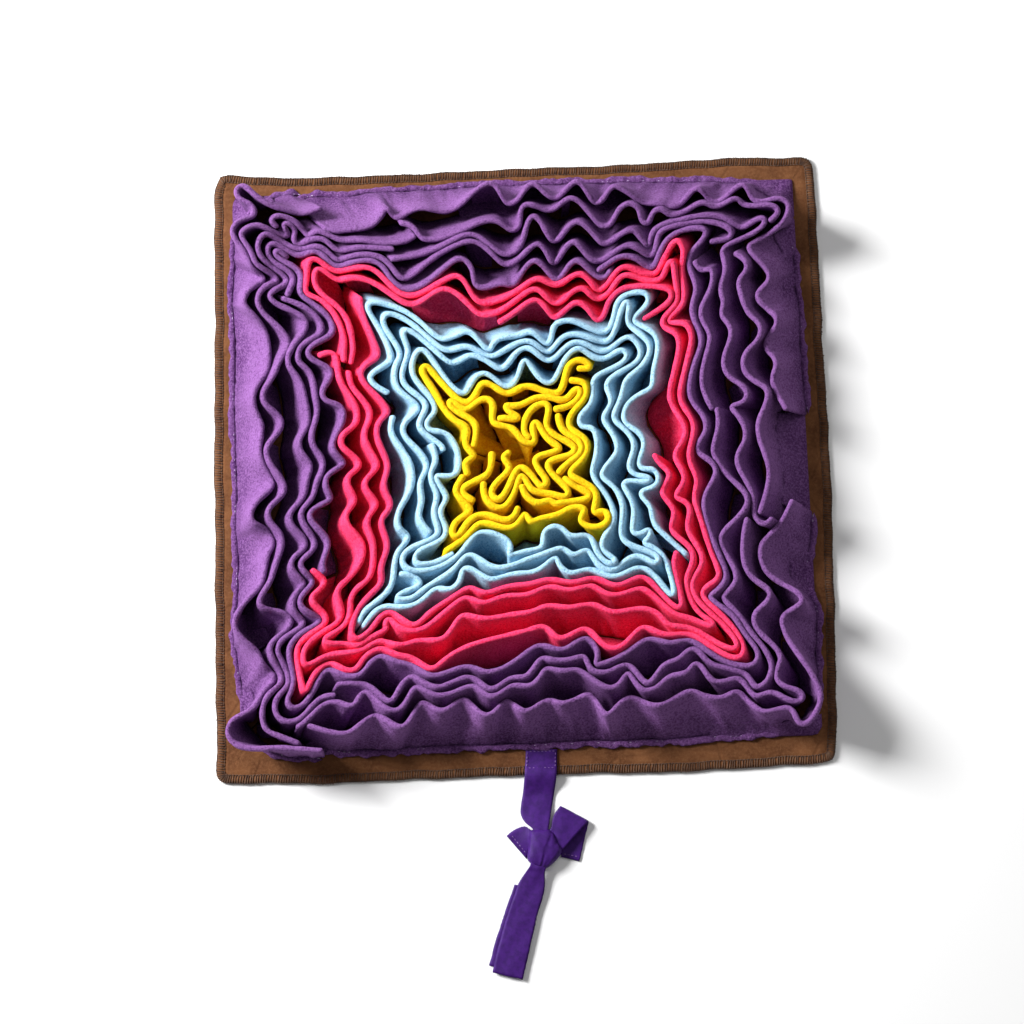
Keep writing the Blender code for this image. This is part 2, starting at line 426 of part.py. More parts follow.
def gathered(path, spread):
    """The path with its folds smoothed away along its length, as where the cloth is gathered into its seam."""
    lengths = arc_lengths(path)
    count = max(4, int(lengths[-1] / SEAM_STEP))
    even = np.linspace(0, lengths[-1], count)
    line = np.stack([np.interp(even, lengths, path[:, k]) for k in range(2)], axis=1)
    reach = min(count - 1, int(3 * spread / (even[1] - even[0])) + 1)
    head = 2 * line[0] - line[reach:0:-1]
    tail = 2 * line[-1] - line[-2 : -reach - 2 : -1]
    padded = np.vstack([head, line, tail])
    offsets = np.arange(-reach, reach + 1) * (even[1] - even[0])
    weights = np.exp(-0.5 * (offsets / spread) ** 2)
    weights /= weights.sum()
    soft = np.stack([np.convolve(padded[:, k], weights, "valid") for k in range(2)], axis=1)
    return np.stack([np.interp(lengths, even, soft[:, k]) for k in range(2)], axis=1)


def spread_out(path):
    """Moves seam points outwards from their rims, more towards the edge of the field."""
    distance = np.maximum((np.abs(path) ** FIELD_SQUARENESS).sum(axis=1) ** (1 / FIELD_SQUARENESS), 1e-6)
    share = np.tanh(distance / SPREAD_REACH) / distance
    side = 0.5 + 0.5 * np.tanh(path[:, 1] / SPREAD_TURN)
    lengthwise = SPREAD_RIBBON + (SPREAD_AWAY - SPREAD_RIBBON) * side
    factor = np.stack([1 + SPREAD_SIDE * share, 1 + lengthwise * share], axis=1)
    return path * factor


def sewn_within(seam, rim, at_edge):
    """Draws an outermost strip's seam out to the field's edge, as far as it can lean, and keeps others inside it."""
    low, high = np.array(SEAM_FIELD[0]), np.array(SEAM_FIELD[1])
    middle, half = (low + high) / 2, (high - low) / 2
    reach = (np.abs((seam - middle) / half) ** EDGE_SQUARENESS).sum(axis=1) ** (1 / EDGE_SQUARENESS)
    if at_edge:
        wanted = reach + EDGE_PULL * (1 - reach)
    else:
        wanted = np.minimum(reach, INNER_REACH + SEAM_OVERRUN * np.maximum(reach - INNER_REACH, 0))
    lean = middle + (seam - middle) * (wanted / reach)[:, None] - rim
    length = np.maximum(np.linalg.norm(lean, axis=1), 1e-6)
    return rim + lean * np.minimum(1, MOST_LEAN / length)[:, None]


def kept_points(rim, seam):
    """Indices of the few points that keep rim and seam within TURN_TOLERANCE, no facet longer than LONGEST_FACET."""
    both = np.hstack([rim, seam])
    kept = {0, len(both) - 1}
    spans = [(0, len(both) - 1)]
    while spans:
        first, last = spans.pop()
        if last - first < 2:
            continue
        chord = both[last] - both[first]
        length = np.linalg.norm(rim[last] - rim[first])
        offset = both[first + 1 : last] - both[first]
        share = np.clip(offset @ chord / max(chord @ chord, 1e-12), 0, 1)
        miss = np.linalg.norm(offset - share[:, None] * chord, axis=1)
        if miss.max() < TURN_TOLERANCE and length < LONGEST_FACET:
            continue
        middle = first + 1 + int(miss.argmax())
        kept.add(middle)
        spans += [(first, middle), (middle, last)]
    return sorted(kept)


def strip_lines(name, rows):
    """Rim and seam points of one strip in plan, with the height of each rim point."""
    _, _, smoothing = STRIP_KINDS[name.split("_")[0]]
    turns = np.array(rows, float).reshape(-1, 2)
    grid_rim = smooth_curve(turns, RIM_SAMPLES)
    foot = BASE_THICKNESS + PIECE_GAP
    height = np.full(len(grid_rim), foot + STRIP_WIDTH)
    for _ in range(3):
        rim = on_plan(grid_rim, height)
        seam = SEAM_KEEP * rim + (1 - SEAM_KEEP) * gathered(rim, smoothing)
        seam = spread_out(seam)
        seam = sewn_within(seam, rim, name in EDGE_STRIPS)
        lean = np.linalg.norm(rim - seam, axis=1)
        rise = np.sqrt(np.maximum(STRIP_WIDTH**2 - lean**2, LEAST_RIM_RISE**2))
        height = foot + np.interp(arc_lengths(rim), arc_lengths(rim), rise)
    kept = kept_points(rim, seam)
    return rim[kept], seam[kept], height[kept], rim, kept


def settle(lines):
    """Pushes the strips apart, a little at a time, until each clears the others and its own folds.

    A wall is read at several levels. There its section runs through its posts, which join rim and seam at one
    point, and through its diagonals, which join the rim at a point to the seam at the next.
    """
    rim = np.vstack([line[0] for line in lines])
    seam = np.vstack([line[1] for line in lines])
    sizes = [len(line[0]) for line in lines]
    first = np.concatenate([[0], np.cumsum(sizes)[:-1]])
    upper = np.concatenate([start + np.repeat(np.arange(n), 2)[:-1] for start, n in zip(first, sizes)])
    lower = np.concatenate([start + np.repeat(np.arange(n), 2)[1:] for start, n in zip(first, sizes)])
    owner = np.concatenate([np.full(2 * n - 1, strip) for strip, n in enumerate(sizes)])
    distance_along = np.concatenate([arc_lengths(line[0]) for line in lines])
    along = (distance_along[upper] + distance_along[lower]) / 2
    starts = np.flatnonzero(owner[:-1] == owner[1:])
    rise = np.concatenate([line[2] for line in lines]) - BASE_THICKNESS - PIECE_GAP
    rise = (rise[upper] + rise[lower]) / 2
    wanted = STRIP_THICKNESS + PIECE_GAP + SETTLE_MARGIN
    known_sides = {}
    for turn in range(SETTLE_ROUNDS):
        if turn % SETTLE_REFRESH == 0:
            pairs = near_pairs(rim[upper], seam[lower], owner, along, starts)
            side = sides_of(pairs, lines, owner, upper - first[owner], known_sides)
        move_rim = np.zeros_like(rim)
        move_seam = np.zeros_like(seam)
        hits_rim = np.zeros(len(rim))
        hits_seam = np.zeros(len(rim))
        for level in SETTLE_LEVELS:
            raised = np.minimum(level * STRIP_WIDTH / rise, 1)
            line = (1 - raised)[:, None] * seam[lower] + raised[:, None] * rim[upper]
            point, start = pairs
            base, edge = line[start], line[start + 1] - line[start]
            length = np.maximum(np.linalg.norm(edge, axis=1), 1e-7)
            offset = line[point] - base
            share = np.clip((offset * edge).sum(1) / length**2, 0, 1)
            away = offset - share[:, None] * edge
            distance = np.maximum(np.linalg.norm(away, axis=1), 1e-7)
            normal = np.stack([-edge[:, 1], edge[:, 0]], axis=1) * (side / length)[:, None]
            beside = (share > 0) & (share < 1) & (distance < SETTLE_CROSSED)
            crossed = beside & ((offset * normal).sum(1) < 0)
            close = crossed | (distance < wanted)
            push = away * ((wanted - distance) / distance)[:, None]
            push[crossed] = normal[crossed] * (wanted + distance[crossed])[:, None]
            push = push[close] / 2
            point, start, share = point[close], start[close], share[close]
            for target, weight in ((point, np.ones(len(point))), (start, share - 1), (start + 1, -share)):
                high, low = weight * raised[target], weight * (1 - raised[target])
                np.add.at(move_rim, upper[target], push * high[:, None])
                np.add.at(move_seam, lower[target], push * low[:, None])
                np.add.at(hits_rim, upper[target], np.abs(high))
                np.add.at(hits_seam, lower[target], np.abs(low))
        if not hits_rim.any() and not hits_seam.any():
            break
        rim = rim + move_rim * (SETTLE_RATE / np.maximum(hits_rim, 1))[:, None]
        seam = seam + move_seam * (SETTLE_RATE / np.maximum(hits_seam, 1))[:, None]
    print("settled in", turn + 1, "rounds")
    heights = [line[2] for line in lines]
    return list(zip(np.split(rim, first[1:]), np.split(seam, first[1:]), heights))


def sides_of(pairs, lines, owner, place, known):
    """On which side of each facet's own rim curve each near point belongs: 1 to its left, -1 to its right."""
    sides = []
    for point, start in zip(*pairs):
        if (point, start) not in known:
            own, other = lines[owner[point]], lines[owner[start]]
            spot = own[3][own[4][place[point]]]
            near, far = other[4][place[start]], other[4][min(place[start] + 1, len(other[4]) - 1)]
            curve = other[3][near : far + 1]
            steps = np.diff(curve, axis=0)
            gaps = np.linalg.norm((curve[1:] + curve[:-1]) / 2 - spot, axis=1)
            closest = int(gaps.argmin())
            reach = spot - curve[closest]
            turn = steps[closest][0] * reach[1] - steps[closest][1] * reach[0]
            known[(point, start)] = 1.0 if turn > 0 else -1.0
        sides.append(known[(point, start)])
    return np.array(sides)


def near_pairs(rim, seam, owner, along, starts):
    """Which points and facets may touch: (point indices, index of each facet's first point)."""
    found = set()
    for level in (0.0, 0.5, 1.0):
        line = seam + level * (rim - seam)
        middle = (line[starts] + line[starts + 1]) / 2
        half = np.linalg.norm(line[starts + 1] - line[starts], axis=1) / 2
        gap = np.linalg.norm(line[:, None, :] - middle[None], axis=2) - half[None]
        point, facet = np.nonzero(gap < SETTLE_REACH)
        found |= set(zip(point.tolist(), starts[facet].tolist()))
    pairs = np.array(sorted(found))
    point, start = pairs[:, 0], pairs[:, 1]
    same = owner[point] == owner[start]
    apart = np.maximum(along[start] - along[point], along[point] - along[start + 1])
    touching = (point - start <= 3) & (start - point <= 2)
    neighbour = same & (touching | (apart < SETTLE_NEIGHBOUR))
    return point[~neighbour], start[~neighbour]


def side_offsets(line):
    """Half-thickness offsets to the left of the line at each point, mitred at the corners."""
    steps = np.diff(line, axis=0)
    steps /= np.maximum(np.linalg.norm(steps, axis=1), 1e-9)[:, None]
    left = np.stack([-steps[:, 1], steps[:, 0]], axis=1)
    before = np.vstack([left[:1], left])
    after = np.vstack([left, left[-1:]])
    mitre = before + after
    mitre /= np.maximum(np.linalg.norm(mitre, axis=1), 1e-9)[:, None]
    stretch = 1 / np.maximum((mitre * after).sum(1), 1 / MITRE_LIMIT)
    return mitre * stretch[:, None] * STRIP_THICKNESS / 2


def wall_corners(line, heights):
    """The strip's four corner lines: seam left, seam right, rim right, rim left, one set per point."""
    rim, seam, _ = line
    foot = np.full(len(rim), BASE_THICKNESS + PIECE_GAP)
    rim_side, seam_side = side_offsets(rim), side_offsets(seam)
    plan = (seam + seam_side, seam - seam_side, rim - rim_side, rim + rim_side)
    levels = (foot, foot, heights, heights)
    return np.stack([np.column_stack([p, z]) for p, z in zip(plan, levels)], axis=1)


def lofted(name, sections, material):
    """A closed body through the sections, each a ring of corners counter-clockwise as seen from its start."""
    shape = bmesh.new()
    rings = [[shape.verts.new(corner) for corner in section] for section in sections]
    count = len(rings[0])
    for near, far in zip(rings, rings[1:]):
        for k in range(count):
            after = (k + 1) % count
            if k == 1:
                corners = ((near[k], near[after], far[k]), (near[after], far[after], far[k]))
            else:
                corners = ((near[k], near[after], far[after]), (near[k], far[after], far[k]))
            for corner in corners:
                shape.faces.new(corner)
    shape.faces.new(rings[0][::-1])
    shape.faces.new(rings[-1])
    return placed(name, shape, material)


def placed(name, shape, material):
    """Closes the bmesh's construction: normals out, an object in the scene, its material."""
    bmesh.ops.recalc_face_normals(shape, faces=shape.faces)
    mesh = bpy.data.meshes.new(name)
    shape.to_mesh(mesh)
    shape.free()
    mesh.materials.append(material)
    item = bpy.data.objects.new(name, mesh)
    bpy.context.scene.collection.objects.link(item)
    return item


def cloth(name, colour, roughness):
    """A Principled material of one colour."""
    material = bpy.data.materials.new(name)
    material.use_nodes = True
    shader = material.node_tree.nodes["Principled BSDF"]
    shader.inputs["Base Color"].default_value = (*colour, 1.0)
    shader.inputs["Roughness"].default_value = roughness
    shader.inputs["Metallic"].default_value = 0.0
    return material


def make_base():
    """The base cloth: its uneven outline extruded, with softened edges."""
    outline = on_plan(BASE_OUTLINE, GRID_HEIGHT)
    shape = bmesh.new()
    floor = shape.faces.new([shape.verts.new((x, y, 0.0)) for x, y in outline])
    raised = bmesh.ops.extrude_face_region(shape, geom=[floor])
    top = [item for item in raised["geom"] if isinstance(item, bmesh.types.BMVert)]
    bmesh.ops.translate(shape, verts=top, vec=(0.0, 0.0, BASE_THICKNESS))
    upper = [edge for edge in shape.edges if all(vert in set(top) for vert in edge.verts)]
    bmesh.ops.bevel(shape, geom=upper, offset=BASE_EDGE_BEVEL, segments=1, affect="EDGES")
    return placed("base_mat", shape, cloth("suede", BASE_COLOUR, 0.85))


def make_ribbon(material):
    """The ribbon's flat bands and its knot."""
    for name, rows in RIBBON_BANDS.items():
        rows = np.array(rows)
        left = np.column_stack([on_plan(rows[:, 0:2], rows[:, 4]), rows[:, 4]])
        right = np.column_stack([on_plan(rows[:, 2:4], rows[:, 4]), rows[:, 4]])
        middle = (left + right) / 2
        travel = np.gradient(middle, axis=0)
        face = np.cross(right - left, travel)
        face /= np.linalg.norm(face, axis=1)[:, None]
        half = face * RIBBON_THICKNESS / 2
        sections = np.stack([left - half, right - half, right + half, left + half], axis=1)
        lofted(name, sections, material)
    outline = on_plan(KNOT_OUTLINE, KNOT_SHOULDER)
    middle = outline.mean(axis=0)
    reach = np.linalg.norm(outline - middle, axis=1)[:, None]
    crown = middle + (outline - middle) * (1 - KNOT_CROWN_INSET / reach)
    levels = ((crown, KNOT_BOTTOM), (outline, KNOT_SKIRT), (outline, KNOT_SHOULDER), (crown, KNOT_TOP))
    rings = []
    for plan, height in levels:
        rings.append(np.column_stack([plan, np.full(len(plan), height)]))
    lofted("ribbon_knot", rings, material)


def main():
    for item in list(bpy.data.objects):
        bpy.data.objects.remove(item)
    make_base()
    materials = {kind: cloth(f"{kind}_fleece", *look[:2]) for kind, look in STRIP_KINDS.items()}
    lines = [strip_lines(name, rows) for name, rows in LAYOUT.items()]
    print("facets", sum(len(line[0]) - 1 for line in lines))
    for name, line in zip(LAYOUT, settle(lines)):
        sections = wall_corners(line, line[2])
        lofted(f"ruffle_{name}", sections, materials[name.split("_")[0]])
    make_ribbon(cloth("ribbon_satin", RIBBON_COLOUR, 0.4))


main()
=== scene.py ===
"""Looks of a snuffle mat: fleece ruffles sewn on edge to a brushed suede base, with a knotted satin tie.

Every ruffle is one fleece strip. Its seam is gathered to the base and its free rim swings from side to side,
and the tables at the end of the settings say where each swing turns.
"""

import logging
import math
from dataclasses import dataclass, field
from enum import Enum
from typing import Any, Iterable, Sequence

import bpy
import numpy as np
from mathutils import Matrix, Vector
from mathutils.kdtree import KDTree


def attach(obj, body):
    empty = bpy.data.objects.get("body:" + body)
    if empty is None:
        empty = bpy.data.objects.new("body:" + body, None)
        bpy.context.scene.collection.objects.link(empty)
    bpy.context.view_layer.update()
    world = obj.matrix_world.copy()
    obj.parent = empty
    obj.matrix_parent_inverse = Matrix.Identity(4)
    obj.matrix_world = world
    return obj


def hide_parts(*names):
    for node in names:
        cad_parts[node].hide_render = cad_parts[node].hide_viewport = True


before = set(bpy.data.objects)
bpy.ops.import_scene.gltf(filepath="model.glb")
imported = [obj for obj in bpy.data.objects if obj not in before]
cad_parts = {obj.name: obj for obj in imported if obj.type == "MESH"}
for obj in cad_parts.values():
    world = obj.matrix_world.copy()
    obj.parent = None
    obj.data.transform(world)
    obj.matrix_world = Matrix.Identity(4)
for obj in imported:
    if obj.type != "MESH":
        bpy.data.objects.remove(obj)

log = logging.getLogger("snuffle_mat")
Rows = Sequence[Sequence[float]]
Array = np.ndarray


# --------------------------------------------------------------------------------------------- shader wiring


class Wire:
    """One output socket of a node, with arithmetic that adds Math nodes for values."""

    def __init__(self, bench: "Bench", socket: bpy.types.NodeSocket) -> None:
        """Holds the socket and the bench that it belongs to."""
        self.bench = bench
        self.socket = socket

    def _math(self, operation: str, first: Any, second: Any = 0.0) -> "Wire":
        """Adds a Math node.

        Args:
            operation: the Math node's operation.
            first: the first value or wire.
            second: the second value or wire.

        Returns:
            The node's result.
        """
        return self.bench.node("ShaderNodeMath", {"operation": operation}, {0: first, 1: second})

    def __add__(self, other: Any) -> "Wire":
        """Sum."""
        return self._math("ADD", self, other)

    def __radd__(self, other: Any) -> "Wire":
        """Sum with the wire on the right."""
        return self._math("ADD", other, self)

    def __sub__(self, other: Any) -> "Wire":
        """Difference."""
        return self._math("SUBTRACT", self, other)

    def __rsub__(self, other: Any) -> "Wire":
        """Difference with the wire on the right."""
        return self._math("SUBTRACT", other, self)

    def __mul__(self, other: Any) -> "Wire":
        """Product."""
        return self._math("MULTIPLY", self, other)

    def __rmul__(self, other: Any) -> "Wire":
        """Product with the wire on the right."""
        return self._math("MULTIPLY", other, self)

    def sine(self) -> "Wire":
        """Sine of the value in radians."""
        return self._math("SINE", self)


class Bench:
    """A material's node tree with one method that adds any node."""

    def __init__(self, name: str) -> None:
        """Starts a material of this name with an empty tree."""
        self.material = bpy.data.materials.new(name)
        self.material.use_nodes = True
        self.tree = self.material.node_tree
        self.tree.nodes.clear()

    def node(self, kind: str, settings: dict[str, Any], inputs: dict[Any, Any], output: Any = 0) -> Wire:
        """Adds a node: its settings first, then the values or links of its sockets.

        Args:
            kind: the node's type.
            settings: attributes of the node; "stops" is a ramp's list of position and colour.
            inputs: socket name or index to a value or a wire.
            output: name or index of the output that is wanted.

        Returns:
            The wanted output.
        """
        made = self.tree.nodes.new(kind)
        for key, value in settings.items():
            if key == "stops":
                self._set_stops(made.color_ramp, value)
            else:
                setattr(made, key, value)
        for key, value in inputs.items():
            if isinstance(value, Wire):
                self.tree.links.new(value.socket, made.inputs[key])
            else:
                made.inputs[key].default_value = value
        return Wire(self, made.outputs[output])

    @staticmethod
    def _set_stops(ramp: bpy.types.ColorRamp, stops: Sequence[tuple[float, Sequence[float]]]) -> None:
        """Gives a colour ramp its stops."""
        while len(ramp.elements) < len(stops):
            ramp.elements.new(0.5)
        for element, (place, colour) in zip(ramp.elements, stops):
            element.position = place
            element.color = (*colour, 1.0)

    def place(self) -> Wire:
        """Position on the piece in metres."""
        return self.node("ShaderNodeTexCoord", {}, {}, "Object")

    def attribute(self, name: str) -> Wire:
        """A value stored on the mesh's points."""
        return self.node("ShaderNodeAttribute", {"attribute_name": name}, {}, "Fac")

    def noise(self, where: Wire, scale: float, detail: float = 2.0, roughness: float = 0.5) -> Wire:
        """Noise from 0 to 1 with features of about 1 / scale metres."""
        inputs = {"Vector": where, "Scale": scale, "Detail": detail, "Roughness": roughness}
        return self.node("ShaderNodeTexNoise", {}, inputs, "Fac")

    def ramp(self, value: Wire, low: float, high: float) -> Wire:
        """The value's smooth climb from 0 at low to 1 at high."""
        inputs = {"Value": value, "From Min": low, "From Max": high}
        return self.node("ShaderNodeMapRange", {"interpolation_type": "SMOOTHSTEP"}, inputs)

    def mix(self, share: Any, first: Any, second: Any, blend: str = "MIX") -> Wire:
        """Colours mixed.

        Args:
            share: how much of the second, a value or a wire.
            first: a colour or a wire.
            second: a colour or a wire.
            blend: the Mix node's blend type.

        Returns:
            The mixed colour.
        """
        inputs = {0: share, 6: self._colour(first), 7: self._colour(second)}
        return self.node("ShaderNodeMix", {"data_type": "RGBA", "blend_type": blend}, inputs, 2)

    @staticmethod
    def _colour(value: Any) -> Any:
        """A colour socket's value: four numbers, or the wire as it is."""
        return value if isinstance(value, Wire) else (*value, 1.0)

    def bump(self, height: Wire, strength: float, distance: float) -> Wire:
        """A Normal bent by the height."""
        return self.node("ShaderNodeBump", {}, {"Height": height, "Strength": strength, "Distance": distance})

    def finish(
        self, colour: Any, roughness: Any, normal: Wire | None, fixed: dict[str, Any]
    ) -> bpy.types.Material:
        """Adds the Principled shader and the output.

        Args:
            colour: the base colour or its wire.
            roughness: the roughness or its wire.
            normal: the Normal's wire, or None.
            fixed: values set directly on the shader's own sockets.

        Returns:
            The finished material.
        """
        inputs = {"Base Color": self._colour(colour), "Roughness": roughness, **fixed}
        if normal is not None:
            inputs["Normal"] = normal
        shader = self.node("ShaderNodeBsdfPrincipled", {}, inputs)
        self.node_output(shader)
        return self.material

    def node_output(self, shader: Wire) -> None:
        """Links the shader to the material's output."""
        made = self.tree.nodes.new("ShaderNodeOutputMaterial")
        self.tree.links.new(shader.socket, made.inputs["Surface"])


# -------------------------------------------------------------------------------------------------- finishes


@dataclass(frozen=True)
class FleeceFinish:
    """Anti-pill fleece: short matted pile, with a painted highlight on the rim and raised nubs, and painted
    shade towards the seam and in the pile's hollows.
    """

    name: str
    body: tuple[float, float, float]
    # deep is a painted shade colour: the fleece as it looks in shade, for the low parts of walls, falls and
    # lips and for the pile's hollows.
    deep: tuple[float, float, float]
    # rim is a painted highlight colour: the fleece as it looks in full light, for the rim cap and raised
    # nubs; it is also the lighter tone of the random mottling, and the sheen tint.
    rim: tuple[float, float, float]
    nub_scale: float = 600.0
    fuzz_scale: float = 1900.0
    mottle_scale: float = 55.0
    relief: float = 0.0024
    # How much painted highlight the rim cap gets.
    rim_highlight_share: float = 0.12
    sheen: float = 0.16

    def material(self) -> bpy.types.Material:
        """Builds the material."""
        bench = Bench(self.name)
        place = bench.place()
        rise = bench.attribute("rise")
        nubs = bench.noise(place, self.nub_scale, 3.0, 0.6)
        fuzz = bench.noise(place, self.fuzz_scale, 2.0, 0.5)
        mottle = bench.noise(place, self.mottle_scale, 3.0, 0.55)
        # Painted shade: the colour darkens towards deep where the rise attribute is low, at the foot of walls
        # and falls, with some random mottle.
        depth = bench.ramp(rise + (mottle - 0.5) * 0.15, 0.0, 0.8)
        colour = bench.mix(depth, self.deep, self.body)
        # Painted highlight: the rim cap is lightened towards the rim colour.
        edge = bench.ramp(rise, 0.93, 1.0) * self.rim_highlight_share
        colour = bench.mix(edge, colour, self.rim)
        # Painted highlight on the raised nubs of the pile: lighter towards the rim colour where the pile
        # stands higher.
        nub_highlight = bench.ramp(nubs * 0.6 + fuzz * 0.4, 0.42, 0.64)
        colour = bench.mix(nub_highlight * 0.60, colour, self.rim)
        # Painted shade in the pile's hollows: darker towards the deep colour where the pile lies low.
        pile_hollow_shade = 1 - bench.ramp(nubs * 0.7 + fuzz * 0.3, 0.34, 0.5)
        colour = bench.mix(pile_hollow_shade * 0.75, colour, self.deep)
        cloud = bench.ramp(mottle, 0.3, 0.7)
        colour = bench.mix(0.16 * cloud, colour, self.rim)
        normal = bench.bump(nubs * 0.7 + fuzz * 0.3, 0.75, self.relief)
        fixed = {
            "Specular IOR Level": 0.15,
            "Sheen Weight": self.sheen,
            "Sheen Roughness": 0.45,
            "Sheen Tint": (*self.rim, 1.0),
        }
        return bench.finish(colour, 0.96, normal, fixed)


@dataclass(frozen=True)
class SuedeFinish:
    """Brushed suede-like microfibre: patches where the nap lies the other way, and fine grain."""

    name: str
    body: tuple[float, float, float]
    dark: tuple[float, float, float]
    light: tuple[float, float, float]

    def material(self) -> bpy.types.Material:
        """Builds the material."""
        bench = Bench(self.name)
        place = bench.place()
        nap = bench.noise(place, 38.0, 4.0, 0.62)
        grain = bench.noise(place, 1500.0, 3.0, 0.6)
        pores = bench.noise(place, 420.0, 3.0, 0.6)
        inputs = {"Vector": place, "Scale": 26.0, "Randomness": 1.0}
        creases = bench.node("ShaderNodeTexVoronoi", {"feature": "DISTANCE_TO_EDGE"}, inputs)
        crease = 1 - bench.ramp(creases, 0.0, 0.05)
        colour = bench.mix(bench.ramp(nap, 0.32, 0.68), self.dark, self.body)
        colour = bench.mix(bench.ramp(grain * 0.5 + pores * 0.5, 0.42, 0.66) * 0.45, colour, self.light)
        colour = bench.mix(crease * 0.30, colour, self.dark)
        height = grain * 0.35 + pores * 0.5 - crease * 0.5
        fixed = {
            "Specular IOR Level": 0.2,
            "Sheen Weight": 0.12,
            "Sheen Roughness": 0.4,
            "Sheen Tint": (*self.light, 1.0),
        }
        return bench.finish(colour, 0.88, bench.bump(height, 0.6, 0.0007), fixed)


@dataclass(frozen=True)
class RibbonFinish:
    """Ribbed satin ribbon: fine weft ribs across it, denser woven edges, a soft sheen."""

    name: str
    body: tuple[float, float, float]
    dark: tuple[float, float, float]
    light: tuple[float, float, float]
    rib_pitch: float = 0.00085
    warp_pitch: float = 0.0006

    def material(self) -> bpy.types.Material:
        """Builds the material."""
        bench = Bench(self.name)
        weave = bench.node("ShaderNodeUVMap", {"uv_map": "weave"}, {})
        across, along = (bench.node("ShaderNodeSeparateXYZ", {}, {0: weave}, axis) for axis in "XY")
        rib = (along * (2 * math.pi / self.rib_pitch)).sine()
        warp = (across * (2 * math.pi / self.warp_pitch)).sine()
        cloth = bench.noise(bench.place(), 240.0, 3.0, 0.55)
        threads = bench.noise(bench.place(), 2200.0, 2.0, 0.5)
        colour = bench.mix(bench.ramp(cloth, 0.3, 0.7), self.dark, self.body)
        colour = bench.mix(bench.ramp(rib * warp, -0.2, 0.9) * 0.28, colour, self.light)
        colour = bench.mix(bench.ramp(threads, 0.5, 0.75) * 0.35, colour, self.light)
        height = rib * 0.35 + warp * 0.2 + threads * 0.25
        fixed = {"Specular IOR Level": 0.22}
        return bench.finish(colour, 0.52 + threads * 0.14, bench.bump(height, 0.5, 0.0002), fixed)


@dataclass(frozen=True)
class ThreadFinish:
    """Sewing thread: twisted fibres with a slight shine."""

    name: str
    body: tuple[float, float, float]
    light: tuple[float, float, float]
    patch_scale: float = 160.0

    def material(self) -> bpy.types.Material:
        """Builds the material."""
        bench = Bench(self.name)
        place = bench.place()
        patch = bench.noise(place, self.patch_scale, 3.0, 0.6)
        fibre = bench.noise(place, 3800.0, 2.0, 0.5)
        colour = bench.mix(bench.ramp(patch, 0.35, 0.68), self.body, self.light)
        colour = bench.mix(bench.ramp(fibre, 0.45, 0.7) * 0.4, colour, self.light)
        fixed = {"Specular IOR Level": 0.3, "Sheen Weight": 0.1}
        return bench.finish(colour, 0.7 + fibre * 0.15, bench.bump(fibre, 0.5, 0.0002), fixed)


@dataclass(frozen=True)
class FloorFinish:
    """A plain pale floor."""

    name: str
    body: tuple[float, float, float]

    def material(self) -> bpy.types.Material:
        """Builds the material."""
        bench = Bench(self.name)
        shade = bench.noise(bench.place(), 1.5, 1.0, 0.4)
        colour = bench.mix(0.02 * shade, self.body, (0.80, 0.80, 0.80))
        return bench.finish(colour, 0.9, None, {"Specular IOR Level": 0.1})


class FleeceColour(Enum):
    """The four fleece colours, from the rim of the mat to its middle."""

    PURPLE = "purple"
    RED = "red"
    BLUE = "blue"
    YELLOW = "yellow"


# Each colour's tones: body, then deep (the painted shade colour), then rim (the painted highlight colour).
FLEECE = {
    colour: FleeceFinish(f"{colour.value}_fleece_pile", *tones)
    for colour, tones in (
        (FleeceColour.PURPLE, ((0.165, 0.062, 0.215), (0.054, 0.012, 0.080), (0.28, 0.130, 0.355))),
        (FleeceColour.RED, ((0.95, 0.030, 0.130), (0.60, 0.003, 0.048), (0.98, 0.095, 0.22))),
        (FleeceColour.BLUE, ((0.33, 0.57, 0.76), (0.10, 0.26, 0.44), (0.50, 0.76, 0.90))),
        (FleeceColour.YELLOW, ((0.95, 0.56, 0.003), (0.70, 0.29, 0.001), (0.98, 0.72, 0.018))),
    )
}
SUEDE = SuedeFinish("brown_suede_nap", (0.160, 0.062, 0.022), (0.085, 0.029, 0.009), (0.235, 0.105, 0.045))
RIBBON = RibbonFinish(
    "violet_ribbed_satin", (0.044, 0.005, 0.140), (0.026, 0.002, 0.088), (0.062, 0.010, 0.185)
)
OVERLOCK = ThreadFinish("brown_overlock_thread", (0.042, 0.018, 0.010), (0.125, 0.065, 0.036))
RIBBON_THREAD = ThreadFinish("violet_sewing_thread", (0.16, 0.055, 0.27), (0.34, 0.20, 0.48))
SEAM_THREAD = ThreadFinish("lilac_sewing_thread", (0.24, 0.12, 0.34), (0.62, 0.50, 0.70), 60.0)
FLOOR = FloorFinish("pale_floor", (0.90, 0.90, 0.90))


# ----------------------------------------------------------------------------------------- curves and meshes


@dataclass(frozen=True)
class PlanGrid:
    """The tables' square layout grid, seen from one eye point: a raised edge lies nearer that point."""

    middle: tuple[float, float] = (512.0, 460.0)
    across: tuple[float, float, float] = (8.0758e-4, -2.802e-5, -5.784e-3)
    along: tuple[float, float, float] = (-2.717e-5, -8.2067e-4, 4.1148e-3)
    taper: float = 6.8724e-5
    height: float = 0.003
    eye: tuple[float, float, float] = (-0.0174, -0.3404, 1.8757)

    def on_plan(self, points: Any, height: Any) -> Array:
        """Plan position of grid points drawn at a height.

        Args:
            points: grid points, a row each.
            height: one height in metres, or one for each point.

        Returns:
            Positions in metres, a row each.
        """
        points = np.asarray(points, float)
        across = points[:, 0] - self.middle[0]
        along = points[:, 1] - self.middle[1]
        taper = 1 + self.taper * along
        x = (self.across[0] * across + self.across[1] * along + self.across[2]) / taper
        y = (self.along[0] * across + self.along[1] * along + self.along[2]) / taper
        flat = np.stack([x, y], axis=1)
        share = (np.broadcast_to(height, len(points)) - self.height) / (self.eye[2] - self.height)
        return flat + share[:, None] * (np.array(self.eye[:2]) - flat)


GRID = PlanGrid()


